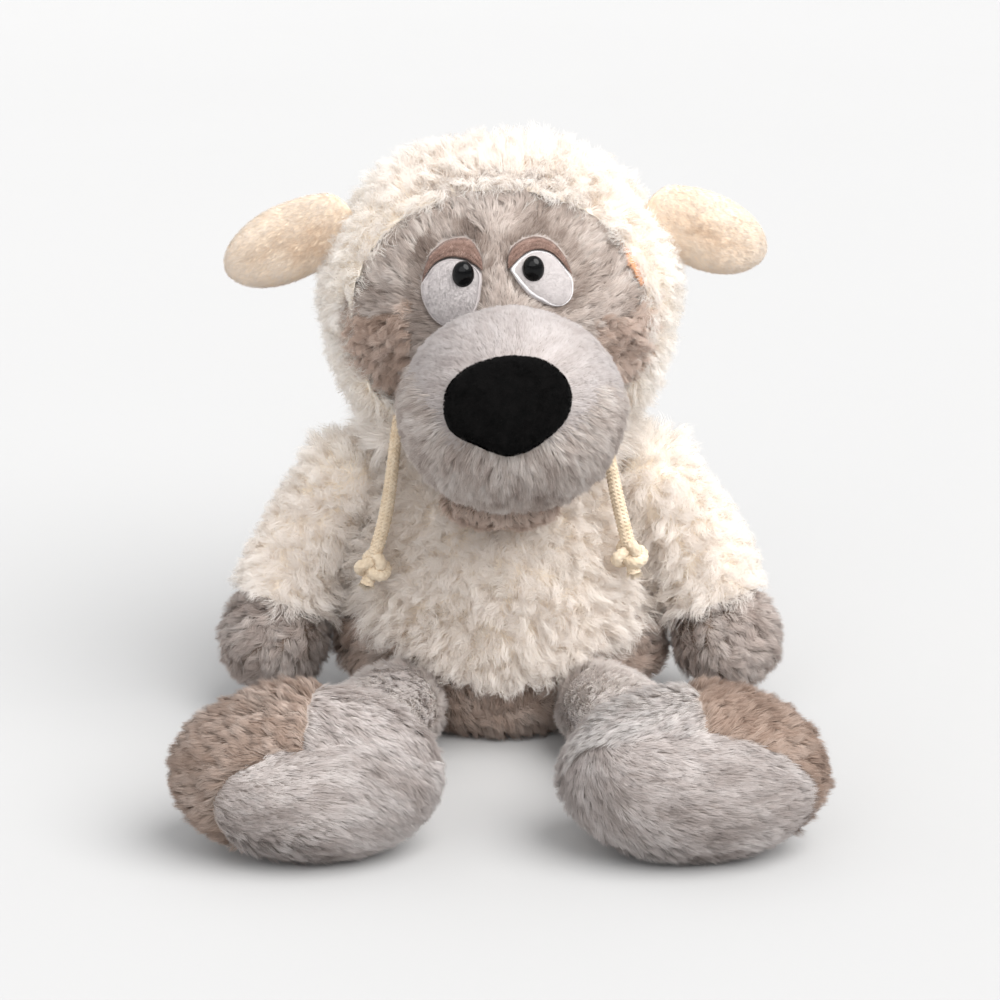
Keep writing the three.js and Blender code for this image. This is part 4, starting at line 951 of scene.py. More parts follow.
# ---------------------------------------------------------------- legs and feet
for side, s in (("left", 1), ("right", -1)):
    lv, lf = jobs[f"leg_{side}"]["v"], jobs[f"leg_{side}"]["f"]
    lv[:, 2] = np.maximum(lv[:, 2], 0.8)
    bend = ("torso", f"leg_{side}", (40 * s, -42, 20), (49 * s, -66, 20))
    cover(f"leg_{side}_cover", lv, lf, M["grey_back"], None, [f"leg_{side}_skin", f"leg_{side}_stuffing"], bend)
    p, n = scatter(lv, lf, 4.6, 141 + s, lambda p: (np.hypot(p[:, 0], p[:, 1]) > 49) & (p[:, 2] > 1.2) & (inside(p, np.array(FOOT) * [s, 1, 1], FOOT_R) > 0.97))
    way = np.tile(np.array([0.7 * s, -1.0, 0.25]), (len(p), 1)) + 0.35 * drift(p, 16, 91)
    pile(f"leg_{side}_pile", p, n, way, M["light"], long=5.8, rise=42, fall=12, seed=241 + s, tone=0.9, bend=bend, slot="light_plush")
    fv, ff = jobs[f"foot_{side}"]["v"], jobs[f"foot_{side}"]["f"]
    fv[:, 2] = np.maximum(fv[:, 2], 0.8)
    at = np.array(FOOT) * [s, 1, 1]

    def sole(c, s=s):
        # the sole's outline is an oval set towards the inside and the floor
        mid, r = ((-62.5, 25.5), (43.5, 27.0)) if s < 0 else ((68.3, 27.5), (46.2, 29.5))
        return (c[:, 1] < -148) & ((((c[:, 0] - mid[0]) / r[0]) ** 2 + ((c[:, 2] - mid[1]) / r[1]) ** 2) < 1)

    def outer(c, s=s):
        return ~sole(c, s) & (c[:, 0] * s > (66 if s < 0 else 70) + 0.12 * (c[:, 2] - 40) - 0.2 * (c[:, 1] + 150))

    instep = lambda c, s=s: ~sole(c, s) & ~outer(c, s)
    for name, keep, node, back, slot in (
        ("sole", sole, "sole", "grey_back", "muzzle_plush"),
        ("outer", outer, "outer_panel", "brown_back", "brown_plush"),
        ("instep", instep, "instep_panel", "grey_back", "light_plush"),
    ):
        pv, pf = part_of(fv, ff, keep)
        nodes = [f"foot_{side}_{node}"] + ([f"foot_{side}_stuffing"] if name == "instep" else [])
        cover(f"foot_{side}_{name}_cover", pv, pf, M[back], f"foot_{side}", nodes)
        p, n = scatter(fv, ff, 5.2, 151 + s + len(name), lambda p: (p[:, 2] > (5.5 if name == "outer" else 1.0)) & keep(p + np.stack([noise(p, 5, 92), noise(p, 5, 93), noise(p, 5, 94)], axis=1) * 1.2))
        rad = unit((p - at) * [1, 0, 1])
        rho = np.sqrt(((p[:, 0] - at[0]) / 49) ** 2 + ((p[:, 2] - 30) / 33) ** 2)[:, None]
        if name == "sole" and s < 0:
            right = ease(p[:, 0], -72, -40)[:, None]
            way = np.array([1.0, 0, 0.25]) * (1 - right) + np.array([0.75, 0, -0.75]) * right + 1.2 * ease(rho, 0.8, 1.1) * rad * np.where(rad[:, :1] > -0.3, 1.0, 0.2)
            kw = dict(long=5.4, tone=0.56, mat=M["light"], streak=0.34, pull=0.22)
        elif name == "sole":
            left = 1 - ease(p[:, 0], 30, 52)[:, None]
            way = np.array([1.0, 0, -0.12]) * (1 - left) + np.array([0.5, 0, -0.85]) * left + 1.0 * ease(rho, 0.85, 1.1) * rad * np.where(rad[:, :1] > 0, 1.0, 0.1)
            kw = dict(long=5.4, tone=0.58, mat=M["light"], streak=0.36, pull=0.22)
        elif name == "outer":
            way = np.stack([np.full(len(p), 1.0 * s), np.zeros(len(p)), np.full(len(p), -0.15)], axis=1) + 0.5 * rad
            # painted shade: the outer patch on the wolf's left, the side the light falls on, takes a darker tone than
            # the one on its right to hold back that light
            kw = dict(mat=M["brown"], **{**shaggy, "long": 6.0 * (0.45 + 0.55 * ease(p[:, 2], 4, 16)), "tone": 0.66 if s < 0 else 0.46, "swirl": 0.5, "curl": 0.35})
        else:
            way = np.stack([np.full(len(p), -0.9 * s), np.full(len(p), -0.6), np.full(len(p), -0.35)], axis=1)
            # painted shade: the instep on the wolf's right takes a darker tone than the one on its left, for the shade
            # on that side
            kw = dict(long=5.6, tone=0.6 if s < 0 else 0.9, mat=M["light"])
        pile(f"foot_{side}_{name}_pile", p, n, way + 0.25 * drift(p, 16, 93 + s), seed=251 + s + len(name), body=f"foot_{side}", slot=slot, **kw)

# ---------------------------------------------------------------- tail
v, f = jobs["tail"]["v"], jobs["tail"]["f"]
v[:, 2] = np.maximum(v[:, 2], 0.8)
bend = ("torso", "tail", (0, 50, 14), (3, 63, 14))
cover("tail_cover", v, f, M["grey_back"], None, ["tail_skin", "tail_stuffing"], bend)
p, n = scatter(v, f, 4.6, 161, lambda p: (np.hypot(p[:, 0], p[:, 1]) > 49) & (p[:, 2] > 1.2))
way = np.tile(np.array([1.0, 0.25, -0.1]), (len(p), 1)) + 0.4 * drift(p, 10, 95)
pile("tail_pile", p, n, way, M["grey"], **{**shaggy, "long": 7.0}, seed=261, bend=bend, slot="grey_plush")

# ---------------------------------------------------------------- head
v, f = jobs["head"]["v"], jobs["head"]["f"]
# full cheeks, and a face that fills the hood's opening
v = v + normals_of(v, f) * (4.2 * np.exp(-(((np.abs(v[:, 0]) - 52) / 13) ** 2 + ((v[:, 2] - 164) / 18) ** 2 + ((v[:, 1] + 28) / 13) ** 2))
                            + 2.2 * np.exp(-(((v[:, 1] + 25) / 10) ** 2)))[:, None]
face = lambda c: c[:, 1] < -20


def cheek(c, s):
    """The brown patches start lower on the wolf's right than on its left."""
    top = 181 - 0.35 * (np.abs(c[:, 0]) - 46) + 2 * noise(c, 6, 140) if s < 0 else 181 + 0.3 * (np.abs(c[:, 0]) - 46) + 2 * noise(c, 6, 141)
    return face(c) & (c[:, 0] * s > 34) & (c[:, 2] < top)


EYES = {
    "right": dict(white=[[-30.9, 194.7], [-30.1, 197.4], [-28.5, 199.7], [-26.9, 202.1], [-24.2, 204.4], [-21.4, 205.7], [-18.7, 206.3], [-15.6, 206.2], [-12.4, 205.3], [-9.7, 204.0], [-7.8, 201.9], [-7.4, 199.1], [-7.8, 196.1], [-8.6, 191.0], [-10.6, 186.6], [-14.2, 183.2], [-18.6, 181.2], [-22.6, 181.2], [-26.0, 183.4], [-28.4, 186.6], [-30.2, 190.4]],
                  up=[[-30.5, 196.8], [-29.9, 200.8], [-28.9, 204.0], [-27.4, 207.0], [-24.6, 209.6], [-21.9, 211.6], [-18.7, 212.8], [-15.2, 213.4], [-11.7, 212.9], [-9.7, 211.3], [-8.2, 209.0], [-7.0, 206.6], [-6.8, 205.0]],
                  low=[[-30.5, 196.6], [-29.3, 199.3], [-28.1, 201.2], [-26.5, 203.1], [-24.2, 205.1], [-21.4, 206.4], [-18.7, 207.0], [-15.5, 206.8], [-12.8, 206.3], [-11.3, 205.3], [-9.7, 204.7], [-8.1, 203.6], [-6.8, 202.8]],
                  pupil=(-14.3, 201.6), stitch=((0.9, -0.3), 0.45, 0.8)),
    "left": dict(white=[[4.3, 203.8], [7.4, 206.5], [10.5, 208.5], [13.2, 209.4], [16.4, 209.2], [19.5, 208.3], [22.2, 206.4], [24.6, 203.7], [26.5, 201.0], [28.1, 198.0], [28.5, 195.0], [28.1, 192.1], [26.5, 189.8], [23.8, 188.6], [20.2, 189.0], [17.1, 190.5], [13.6, 192.4], [10.5, 194.9], [7.8, 198.0], [5.4, 201.3]],
                 up=[[3.0, 204.9], [3.1, 207.7], [4.3, 210.1], [6.2, 211.8], [8.6, 213.0], [11.3, 213.7], [14.0, 213.9], [16.8, 213.4], [19.9, 212.0], [22.6, 209.8], [25.0, 206.9], [26.5, 204.0], [28.0, 200.4]],
                 low=[[3.0, 203.4], [4.7, 204.4], [6.6, 206.2], [8.2, 207.5], [10.1, 208.8], [12.4, 209.6], [14.8, 209.8], [17.5, 209.4], [20.3, 208.2], [22.6, 206.3], [24.5, 204.4], [26.1, 202.3], [28.0, 200.0]],
                 pupil=(12.95, 203.6), stitch=((-0.75, -0.65), 0.5, 2.1)),
}


def closed_spline(points, n):
    p = np.array(points, float)
    m = len(p)
    out = []
    for i in range(m):
        a, b, c, d = p[i - 1], p[i], p[(i + 1) % m], p[(i + 2) % m]
        for t in np.linspace(0, 1, 24, endpoint=False):
            out.append(0.5 * (2 * b + (c - a) * t + (2 * a - 5 * b + 4 * c - d) * t * t + (3 * b - a - 3 * c + d) * t**3))
    out = np.array(out + out[:1])
    at = np.concatenate([[0], np.cumsum(np.linalg.norm(np.diff(out, axis=0), axis=1))])
    s = np.linspace(0, at[-1], n, endpoint=False)
    return np.stack([np.interp(s, at, out[:, k]) for k in range(2)], axis=1)


def open_spline(points, n):
    line, _, _ = catmull([[x, 0, z] for x, z in points], n)
    return line[:, [0, 2]]


def face_y(x, z):
    """The y of the face's surface at x, z."""
    q = 1 - ((x - HEAD[0]) / HEAD_R[0]) ** 2 - ((z - HEAD[2]) / HEAD_R[2]) ** 2
    return HEAD[1] - HEAD_R[1] * np.sqrt(np.clip(q, 0.02, 1))


def in_outline(x, z, line):
    """Whether points are inside a closed line."""
    got = np.zeros(len(x), bool)
    for (x0, z0), (x1, z1) in zip(line, np.roll(line, -1, axis=0)):
        got ^= ((z0 > z) != (z1 > z)) & (x < (x1 - x0) * (z - z0) / (z1 - z0 + 1e-12) + x0)
    return got


for e in EYES.values():
    e["line"] = closed_spline(e["white"], 150)
    e["centre"] = e["line"].mean(0)
    e["lid"] = np.concatenate([open_spline(e["up"], 60), open_spline(e["low"], 60)[::-1]])


def under_eyes(p):
    got = np.zeros(len(p), bool)
    for e in EYES.values():
        for line in (e["line"], e["lid"]):
            c = line.mean(0)
            got |= in_outline(p[:, 0], p[:, 2], c + (line - c) * 1.0)
    return got & (p[:, 1] < -30)


nose_c = np.array(NOSE, float)
for name, keep, nodes, back, slot in (
    ("face", lambda c: face(c) & ~cheek(c, 1) & ~cheek(c, -1), ["face_panel", "head_stuffing"], "grey_back", "grey_plush"),
    ("cheek_left", lambda c: cheek(c, 1), ["cheek_patch_left"], "brown_back", "brown_plush"),
    ("cheek_right", lambda c: cheek(c, -1), ["cheek_patch_right"], "brown_back", "brown_plush"),
    ("head_back", lambda c: ~face(c), ["head_back_panel"], "grey_back", "grey_plush"),
):
    pv, pf = part_of(v, f, keep)
    cover(name + "_cover", pv, pf, M[back], "head", nodes)
open_face = lambda p: (p[:, 1] < -16) & (inside(p, MUZZLE, MUZZLE_R) > 0.96) & (inside(p, CHIN, CHIN_R) > 0.96) & ~under_eyes(p)
brow = np.array([0.0, -60, 176])


def face_comb(p):
    """Up and out from between the eyes, with a wandering parting over the nose, and out over the cheeks."""
    way = unit((p - brow) * [1, 0, 1.1]) + np.stack([0.3 * noise(p, 15, 97), np.zeros(len(p)), 0.3 * noise(p, 15, 98)], axis=1)
    mid = (np.abs(p[:, 0] - 2) < 12) & (p[:, 2] > 200)
    way[:, 0] += np.where(mid, 0.9 * np.tanh(2 * noise(p, 8, 99)), 0)
    return way


# fibres beside the eyes are shorter, so that they don't fall over them, and a darker tone paints the shade in the
# crease beside the eyes
eye_edges = np.concatenate([np.concatenate([e["line"], e["lid"]]) for e in EYES.values()])
p, n = scatter(v, f, 5.2, 171, lambda p: open_face(p) & ~cheek(p + drift(p, 5, 143) * 2.5, 1) & ~cheek(p + drift(p, 5, 143) * 2.5, -1))
gap = np.min(np.hypot(p[:, :1] - eye_edges[None, ::4, 0], p[:, 2:] - eye_edges[None, ::4, 1]), axis=1)
near_eye = (gap < 4.5) & (p[:, 1] < -35)
pile("face_pile", p[~near_eye], n[~near_eye], face_comb(p[~near_eye]), M["grey"], long=6.6 + 2.4 * ease(p[~near_eye, 1], -32, -20), rise=48, fall=14, swirl=0.4, clump=3.2, pull=0.46, curl=0.5, frizz=0.35, parts=3, seed=271, tone=0.66, streak=0.42, ridge=0.26, lift=0.26, body="head", slot="grey_plush")
pile("face_pile_at_eyes", p[near_eye], n[near_eye], face_comb(p[near_eye]), M["grey"], long=3.8, rise=62, fall=30, swirl=0.25, seed=272, tone=0.4, streak=0.35, body="head", slot="grey_plush")
for side, s in (("left", 1), ("right", -1)):
    p, n = scatter(v, f, 5.6, 173 + s, lambda p: open_face(p) & cheek(p + drift(p, 5, 143) * 2.5, s))
    way = unit((p - brow) * [1, 0, 1]) + 0.8 * drift(p, 8, 101 + s)
    # painted light: the wolf's left cheek takes a lighter tone than its right, for the light that falls on that side
    pile(f"cheek_{side}_pile", p, n, way, M["brown"], **{**shaggy, "long": 8.0, "rise": 74, "fall": 26, "parts": 3, "swirl": 1.1, "clump": 3.1, "pull": 0.56, "curl": 1.7, "turns": 1.3, "width": 0.22, "spread": 0.2, "tone": 0.86 + 0.1 * s, "flat": 0.65}, seed=275 + s, body="head", slot="brown_plush")

# muzzle and chin
v, f = jobs["muzzle"]["v"], jobs["muzzle"]["f"]
for name, keep, nodes, slot in (
    ("muzzle_upper", lambda c: c[:, 2] >= 148, ["muzzle_upper_panel", "muzzle_stuffing"], "muzzle_plush"),
    ("muzzle_lower", lambda c: c[:, 2] < 148, ["muzzle_lower_panel"], "streaked_plush"),
):
    pv, pf = part_of(v, f, keep)
    cover(name + "_cover", pv, pf, M["grey_back"], "head", nodes)
clear = lambda p: inside(p, HEAD, HEAD_R) > 1.01
# the pile is clipped short on top and left long below and beside the nose
edge_z = lambda p: 152 + 5 * noise(p, 14, 111) + 10 * ease(np.abs(p[:, 0] - 4), 22, 36)
which = lambda p: chance(*np.floor(p.T * 40).astype(np.int64), 500)
upper = lambda p: which(p) < ease(p[:, 2] - edge_z(p), -7, 9)
p, n = scatter(v, f, 9.0, 181, lambda p: clear(p) & (p[:, 2] > 138) & upper(p))
way = unit((p - nose_c) * [1, 0.4, 1]) + 0.3 * drift(p, 12, 113)
pile("muzzle_upper_pile", p, n, way, M["taupe"], long=2.5, rise=56, fall=22, width=0.2, clump=2.4, pull=0.22, frizz=0.2, puff=0.15, seed=281, tone=0.55, spread=0.05, streak=0.2, grain=1.8, reach=3.5, body="head", slot="muzzle_plush")
p, n = scatter(v, f, 5.4, 183, lambda p: clear(p) & ~upper(p))
way = unit((p - nose_c - [0, 0, 6]) * [1, 0.2, 1]) + 0.3 * drift(p, 11, 115)
pile("muzzle_lower_pile", p, n, way, M["streak"], long=6.0 - 1.2 * ease(np.abs(p[:, 0] - 4), 30, 42), rise=44, fall=10, clump=2.8, pull=0.36, swirl=0.25, seed=283, tone=0.72, spread=0.1, streak=0.42, grain=1.5, body="head", slot="streaked_plush")
v, f = jobs["chin"]["v"], jobs["chin"]["f"]
cover("chin_cover", v, f, M["brown_back"], "head", ["chin_patch"])
p, n = scatter(v, f, 4.6, 185, lambda p: (inside(p, MUZZLE, MUZZLE_R) > 0.97) & (inside(p, HEAD, HEAD_R) > 0.98))
way = np.stack([0.25 * np.sign(p[:, 0] - 2), np.full(len(p), -0.5), np.full(len(p), -0.8)], axis=1) + 0.5 * drift(p, 9, 117)
# painted light: the chin's pile takes a tone near the top of its ramp to lift the shade it sits in under the muzzle
pile("chin_pile", p, n, way, M["brown"], **{**shaggy, "long": 4.4, "tone": 0.98, "flat": 0.6}, seed=285, body="head", slot="brown_plush")

# ---------------------------------------------------------------- nose: a velvet pad sewn over a filling
NOSE_EDGE = [[-24.0, -0.6], [-23.3, 3.9], [-21.0, 7.7], [-17.0, 11.4], [-12.5, 14.1], [-6.9, 15.6], [-1.3, 16.7], [4.2, 16.9], [9.8, 16.3], [13.9, 14.8], [18.0, 12.0], [21.3, 8.4], [23.2, 4.3], [23.2, -0.2], [22.1, -4.7], [19.1, -9.2], [15.4, -12.5], [11.6, -15.5], [7.9, -18.1], [4.2, -19.4], [0.9, -20.2], [-1.7, -20.0], [-4.7, -19.1], [-8.0, -17.8], [-13.2, -15.5], [-18.0, -13.3], [-21.8, -10.3], [-23.4, -6.9], [-24.1, -3.9]]
line = closed_spline(NOSE_EDGE, 120)[::-1]
out_n = unit(np.stack([np.roll(line, -1, 0)[:, 1] - np.roll(line, 1, 0)[:, 1], -(np.roll(line, -1, 0)[:, 0] - np.roll(line, 1, 0)[:, 0])], axis=1))
if (out_n * (line - line.mean(0))).sum() < 0:
    out_n = -out_n
tl = math.radians(NOSE_TILT)
to_frame = lambda x, h, z: np.stack([x, -h * math.cos(tl) + z * math.sin(tl), z * math.cos(tl) + h * math.sin(tl)], axis=1) + nose_c
base = line - out_n * 2.9
rings = []
# from the back edge, round the rim and in over the face; h is the height towards the viewer
for grow_by, h in ((0.6, -11.5), (1.8, -9.0), (2.6, -6.0), (2.9, -3.5), (2.8, -1.8), (2.3, -0.2), (1.4, 1.1), (0.0, 2.0)):
    q = base + out_n * grow_by
    rings.append((q, np.full(len(q), h)))
for k in np.linspace(0.93, 0.06, 14):
    q = base * k
    rings.append((q, 2.0 + 1.7 * (1 - k**2) * np.ones(len(q))))
rings = [to_frame(q[:, 0], h, q[:, 1]) for q, h in rings]
nv, nf = outward(*loft(rings, False, True))
nv = nv + normals_of(nv, nf) * (0.25 * noise(nv, 9, 121))[:, None]
cover("nose_velvet_cover", nv, nf, M["velvet_back"], "head", ["nose_pad"])
p, n = scatter(nv, nf, 7.0, 187, lambda p: inside(p, MUZZLE, MUZZLE_R) > 0.99)
pile("nose_velvet_nap", p, n, drift(p, 10, 123), M["velvet"], long=0.7, rise=75, fall=50, width=0.16, clump=2.0, pull=0.1, frizz=0.1, swirl=1.2, puff=0.1, seed=287, tone=0.35, spread=0.05, streak=0.14, body="head", slot="nose_velvet")

# ---------------------------------------------------------------- eyes
for side, e in EYES.items():
    line, c = e["line"], e["centre"]
    # the white patch: a low felt dome sewn down along its edge
    rings = []
    for k, h in [(1.0, -1.0), (1.0, 1.4), (0.985, 2.3), (0.95, 2.9)] + [(k, 2.9 + 1.6 * (1 - (k / 0.95) ** 2)) for k in np.linspace(0.88, 0.05, 14)]:
        q = c + (line - c) * k
        rings.append(np.stack([q[:, 0], face_y(q[:, 0], q[:, 1]) - h, q[:, 1]], axis=1))
    wv, wf = outward(*loft(rings, False, True))
    cover(f"eye_white_{side}_felt", wv, wf, M["felt"], "head", [f"eye_white_{side}"])
    p, n = scatter(wv, wf, 14.0, 191, lambda p: p[:, 1] < face_y(p[:, 0], p[:, 2]) - 1.8)
    way = np.tile(np.array([0.5, 0, -1.0] if side == "right" else [0.6, 0, 0.8]), (len(p), 1)) + 0.3 * drift(p, 6, 125)
    pile(f"eye_white_{side}_nap", p, n, way, M["whitenap"], long=0.7, rise=24, fall=6, width=0.12, clump=1.0, pull=0.1, frizz=0.05, swirl=0.1, puff=0.06, lift=0.05, ridge=0.05, seed=289, tone=0.7, spread=0.03, streak=0.12, grain=1.0, reach=1.6, body="head", slot="white_felt")
    # satin stitches over the edge, longest on the side towards the muzzle
    toward, thin, long_ = e["stitch"]
    toward = unit(np.array(toward))
    ring = closed_spline(e["white"], 230)
    d = unit(ring - c)
    wide = thin + (long_ - thin) * ease(d @ toward, 0.1, 0.75)
    sv, sf, count = [], [], 0
    for i in range(len(ring)):
        tang = np.array([-d[i][1], d[i][0]])
        full = (wide[i] - thin) / (long_ - thin)
        a, b = ring[i] - d[i] * wide[i] + tang * 0.25, ring[i] + d[i] * (0.15 + 0.35 * full)
        rg = []
        for t in np.linspace(0, 1, 8):
            w = a + (b - a) * t
            hgt = 2.4 + (0.4 + 0.6 * full) * math.sin(math.pi * (0.15 + 0.8 * t)) - 1.2 * t * t
            y = float(face_y(w[0], w[1])) - hgt
            k = np.arange(6) / 6 * 2 * math.pi
            rr = 0.27
            rg.append(np.stack([w[0] + tang[0] * rr * np.cos(k), y - rr * 0.9 * np.sin(k), w[1] + tang[1] * rr * np.cos(k)], axis=1))
        tv_, tf_ = loft(rg, True, True)
        sf += [[j + count for j in q_] for q_ in tf_]
        count += len(tv_)
        sv.append(tv_)
    # painted shade: the wolf's right eye takes the darker copy of the thread
    cover(f"eye_white_{side}_stitches", np.concatenate(sv), sf, M["thread" if side == "left" else "thread_painted_shade"], "head", ())
    # the eyelid: three rows of satin stitch that follow the brow
    na, nb = 440, 27
    up_, lo_ = open_spline(e["up"], na), open_spline(e["low"], na)
    thick = np.linalg.norm(up_ - lo_, axis=1)
    arc = np.concatenate([[0], np.cumsum(np.linalg.norm(np.diff((up_ + lo_) / 2, axis=0), axis=1))])
    grid, lid_tone_and_painted_edge_shade, lid_painted_groove_shade = [], [], []
    for j in range(nb + 1):
        t = j / nb
        q = lo_ * (1 - t) + up_ * t
        row = t * 3 % 1.0 if j < nb else 1.0
        body_h = 1.2 * np.sqrt(np.clip(1 - (2 * t - 1) ** 6, 0, 1)) * ease(thick, 0, 2.0)
        rows = 0.32 * math.sin(math.pi * row) ** 0.6 if 0 < row < 1 else 0.0
        which = np.floor((arc + 3.4 * row) / 0.46)
        thread = np.abs(np.sin(math.pi * (arc + 3.4 * row) / 0.46))
        y = face_y(q[:, 0], q[:, 1]) - 2.2 - body_h - (rows + 0.15 * thread) * ease(thick, 0.5, 2)
        if j in (0, nb):
            y = face_y(q[:, 0], q[:, 1]) - 1.4
        grid.append(np.stack([q[:, 0], y, q[:, 1]], axis=1))
        hash_ = chance(which.astype(np.int64), np.full(na, int(t * 3)), np.zeros(na, np.int64), 77)
        # painted shade darkens the tone towards the lower edge; it is darker along the top edge too, over a random tone
        # for each thread
        lid_tone_and_painted_edge_shade.append(np.clip(0.2 + 0.42 * t - 0.3 * (t > 0.93) + 0.16 * (hash_ - 0.5) + 0.18 * noise(grid[-1] * [0.5, 1, 2.2], 2.0, 78), 0.02, 0.98))
        # painted shade: the root-to-tip ramp is run across the stitching, darker between the rows and between the
        # threads and lighter on their crowns
        lid_painted_groove_shade.append(np.clip(0.15 + 0.85 * (0.4 * thread + 0.6 * math.sin(math.pi * row)), 0.02, 0.98) * np.ones(na))
    gv = np.concatenate(grid)
    gf = [[j * na + i, j * na + i + 1, (j + 1) * na + i + 1, (j + 1) * na + i] for j in range(nb) for i in range(na - 1)]
    if normals_of(gv, gf)[:, 1].mean() > 0:
        gf = [q[::-1] for q in gf]
    lid = cover(f"eyelid_{side}_stitching", gv, gf, M["lidthread"], "head", [f"eyelid_{side}"])
    layer = lid.data.uv_layers.new(name="OFBake")
    flat = np.zeros(len(lid.data.loops), np.int32)
    lid.data.loops.foreach_get("vertex_index", flat)
    layer.data.foreach_set("uv", np.stack([np.concatenate(lid_tone_and_painted_edge_shade)[flat], np.concatenate(lid_painted_groove_shade)[flat]], axis=1).astype(np.float32).ravel())
    p, n = scatter(gv, gf, 8.0, 193)
    way = np.stack([n[:, 2] * 0, n[:, 2] * 0, n[:, 2] * 0 + 1.0], axis=1) + [0.6 if side == "left" else 0.4, 0, 0]
    pile(f"eyelid_{side}_fuzz", p, n, way, M["lidthread"], long=0.9, rise=24, fall=4, width=0.13, clump=0.8, pull=0.3, frizz=0.1, swirl=0.3, puff=0.1, seed=290, tone=0.62, spread=0.12, streak=0.3, grain=0.8, reach=1.6, body="head", slot="eyelid_thread")
    # glossy pupil
    px_, pz_ = e["pupil"]
    yy = float(face_y(px_, pz_))
    u, uf = ball(16)
    dome = u * [4.3, 3.6, 5.3]
    dome[:, 1] = np.where(dome[:, 1] > 0, dome[:, 1] * 0.4, dome[:, 1])
    cover(f"pupil_{side}_dome", dome + [px_, yy - 4.6, pz_], uf, M["plastic"], "head", [f"pupil_{side}"])

# ---------------------------------------------------------------- hood, its lining and the ears
v, f = hood_cover(-SKIN_IN, -30)
nn = normals_of(v, f)
v = v + nn * (1.0 * noise(v, 24, 131) + 0.4 * noise(v, 10, 132))[:, None] - nn * 0.4
LINING_SHOWS = np.array([54.5, 200.0])


def lining_shows(p, r):
    return np.exp(-(((p[:, 0] - LINING_SHOWS[0]) / r) ** 2 + ((p[:, 2] - LINING_SHOWS[1]) / (1.5 * r)) ** 2))


for side, s in (("left", 1), ("right", -1)):
    pv, pf = part_of(v, f, lambda c: c[:, 0] * s > 0)
    cover(f"hood_{side}_panel_cover", pv, pf, M["wool_back"], "head", [f"hood_{side}_panel"], thick=2.2)
    p, n = scatter(pv, pf, 3.1, 195 + s)
    out = unit((p - HOOD) * [1, 0, 1])
    way = out * 0.5 + np.array([0, 0.3, -0.5]) + 0.9 * drift(p, 14, 133)
    near = ease(-p[:, 1], 16, 30)[:, None]
    way = way * (1 - 0.7 * near) + near * (-out * 0.25 + np.array([0, -0.8, 0.0]))
    rimmed = p[:, 1] < -25
    # shorter at the sides, and round the root of the ear
    size = 11.0 - 4.0 * ease(np.abs(n[:, 0]), 0.4, 1.0)
    size = size * (0.45 + 0.55 * ease(np.linalg.norm((p - np.array(EARS[side][0])) * [0.5, 1.1, 0.8], axis=1), 8, 16))
    # painted light: the tone grows lighter where the hood turns to the sides, to lift the shade that falls there
    pile(f"hood_{side}_wool", p[~rimmed], n[~rimmed], way[~rimmed], **{**wool, "long": size[~rimmed], "tone": 0.3 + 0.55 * ease(np.abs(n[~rimmed, 0]), 0.3, 0.9)}, seed=291 + s, body="head")
    pile(f"hood_{side}_edge_wool", p[rimmed], n[rimmed], way[rimmed], **{**wool, "long": np.minimum(size[rimmed], 9.5), "rise": 66, "fall": -14}, seed=289 + s, body="head")
# the wool turns in over the edge of the hood and fills the gap beside the face
rim = v[np.abs(v[:, 1] + 30) < 1.2]
ang = np.arctan2(rim[:, 2] - HOOD[2], rim[:, 0])
rim = rim[np.argsort(ang)]
ang = np.sort(ang)
r_ = np.random.default_rng(77)
q = int(15000 * DENSE)
th = (r_.random(q) * 2 - 1) * math.pi
edge = np.stack([np.interp(th, ang, rim[:, k], period=2 * math.pi) for k in range(3)], axis=1)
inward = unit((np.array([0, 0, HOOD[2] - 4.0]) - edge) * [1, 0, 1])
depth = r_.random(q)[:, None]
p = edge + inward * (0.3 + 3.2 * r_.random(q)[:, None]) + np.array([0, 9.0, 0]) * depth**1.5
keep = r_.random(q) > 0.93 * lining_shows(p, 6.0)
p, inward, depth = p[keep], inward[keep], depth[keep]
n = unit(np.array([0, -1.0, 0]) * (1 - 0.55 * depth) + inward * (0.25 + 0.8 * depth))
way = inward * 0.8 + np.array([0, -0.4, 0]) + 0.6 * drift(p, 8, 134)
low = (p[:, 2] < 176) & (np.abs(p[:, 0]) > 30)
rim = {**wool, "rise": 62, "fall": 4, "curl": 0.8, "tone": 0.7, "swirl": 0.6, "droop": 0.05}
pile("hood_rim_wool", p[~low], n[~low], way[~low] + 0.3 * inward[~low], **{**rim, "long": 9.8, "fall": -4}, seed=293, body="head")
pile("hood_rim_low_wool", p[low], n[low], way[low] + inward[low] * -1.0, **{**rim, "long": 5.6, "rise": 76}, seed=294, body="head")

v, f = hood_cover(-3.6, -24.0, 48)
w = lining_shows(v, 9.0) * ease(-v[:, 1], 14, 24.0)
v = v + np.stack([-2.6 * w, -9.5 * w, -0.8 * w], axis=1)
cover("hood_lining_fabric", v, f, M["lining_back"], "head", ["hood_lining"])
p, n = scatter(v, f, 5.0, 197, lambda p: (p[:, 1] < -20) & (lining_shows(p, 12.0) > 0.1))
pile("hood_lining_nap", p, -n, np.tile(np.array([0.0, -1.0, 0.0]), (len(p), 1)) + 0.4 * drift(p, 8, 135), M["lining"], long=2.0, rise=50, fall=20, width=0.24, clump=2.0, seed=295, body="head", slot="lining_fabric")

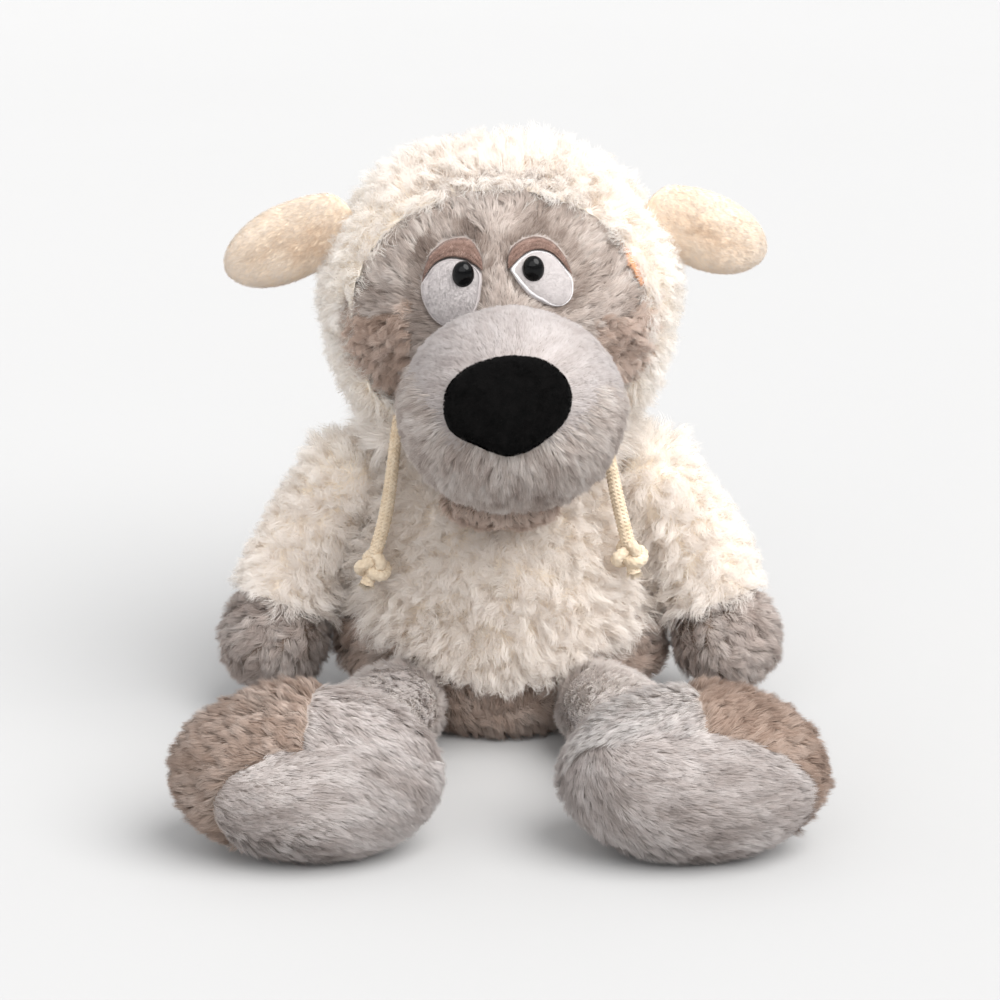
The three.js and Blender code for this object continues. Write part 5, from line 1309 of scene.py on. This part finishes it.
for side, s in (("left", 1), ("right", -1)):
    job = jobs[f"ear_{side}"]
    v, f = job["v"], job["f"]
    x, y, z, fy, root, tip = job["axes"]
    mid = (root + tip) / 2
    for name, keep, nodes in (
        ("front", lambda c: (c - mid) @ y * fy > 0, [f"sheep_ear_{side}_front", f"sheep_ear_{side}_batting"]),
        ("back", lambda c: (c - mid) @ y * fy <= 0, [f"sheep_ear_{side}_back"]),
    ):
        pv, pf = part_of(v, f, keep)
        cover(f"sheep_ear_{side}_{name}_cover", pv, pf, M["peach_back"], f"ear_{side}", nodes)
        p, n = scatter(pv, pf, 10.0, 199 + s)
        way = np.tile(x, (len(p), 1)) + 0.35 * drift(p, 14, 137)
        # painted shade: a little darker in the hollow, over a tone that wanders at random
        q = np.stack([(p - mid) @ x / 20, (p - mid) @ z / 7], axis=1)
        hollow_painted_shade = 0.62 - 0.42 * np.exp(-((q + [0.25, 0.25]) ** 2).sum(1)) + 0.2 * noise(p, 9, 144)
        pile(f"sheep_ear_{side}_{name}_pile", p, n, way, M["peach"], long=1.7, rise=40, fall=14, width=0.18, clump=1.4, pull=0.12, frizz=0.12, puff=0.08, lift=0.05, ridge=0.04, seed=297 + s, tone=hollow_painted_shade, spread=0.04, streak=0.12, grain=2.5, reach=4.0, body=f"ear_{side}", slot="ear_plush")

# ---------------------------------------------------------------- what stays as built, inside
for node, mat, slot in (("eye_washer_left", "washer", "washer_plastic"), ("eye_washer_right", "washer", "washer_plastic"), ("pellet_bag", "pellets", "pellet_cloth"), ("neck_stuffing", "fibre", "fibre_fill")):
    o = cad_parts[node]
    o.data.materials.clear()
    o.data.materials.append(M[mat])

# ---------------------------------------------------------------- floor and light
floor_mat, nt, out, pr = blank("floor")
co = nt.nodes.new("ShaderNodeTexCoord")
nz = nt.nodes.new("ShaderNodeTexNoise")
nz.inputs["Scale"].default_value = 3
nt.links.new(co.outputs["Object"], nz.inputs["Vector"])
nt.links.new(ramp(nt, nz.outputs[0], [(0.0, (0.459, 0.459, 0.46)), (1.0, (0.467, 0.467, 0.468))]), pr.inputs["Base Color"])
pr.inputs["Roughness"].default_value = 0.9
pr.inputs["Specular IOR Level"].default_value = 0.0
nt.links.new(pr.outputs[0], out.inputs["Surface"])
rings = []
ang = np.arange(96) / 96 * 2 * math.pi
for r, z in [(0.05, 0), (300, 0), (800, 0), (1500, 0), (2400, 0), (2900, 60), (3300, 220), (3600, 480), (3750, 820), (3800, 1300)]:
    rings.append(np.stack([r * np.cos(ang), r * np.sin(ang), np.full(96, float(z))], axis=1))
fv, ff = loft(rings)
floor = made("floor", fv, [q[::-1] for q in ff] if normals_of(fv, ff)[0, 2] < 0 else ff, floor_mat)

world = bpy.data.worlds.new("world")
world.use_nodes = True
world.node_tree.nodes["Background"].inputs[0].default_value = (0.985, 0.99, 1.0, 1)
world.node_tree.nodes["Background"].inputs[1].default_value = 0.95
SC.world = world


def sun(name, way, strength, angle, tint=(1, 1, 1)):
    d = bpy.data.lights.new(name, "SUN")
    d.energy, d.angle, d.color = strength, math.radians(angle), tint
    o = bpy.data.objects.new(name, d)
    o.location = Vector(way) * 3
    o.rotation_euler = (-Vector(way)).to_track_quat("-Z", "Y").to_euler()
    SC.collection.objects.link(o)
    return o


sun("key", (0.6, -0.52, 1.0), 3.9, 50, (1.0, 0.99, 0.975))
sun("fill", (-0.2, -1.0, 0.5), 1.1, 60, (0.99, 0.995, 1.0))
# white wool passes light on many times
SC.cycles.max_bounces, SC.cycles.diffuse_bounces = 16, 9
SC.view_settings.view_transform = "Standard"
SC.view_settings.look = "None"
SC.view_settings.exposure = 0.0
SC.view_settings.gamma = 1.0
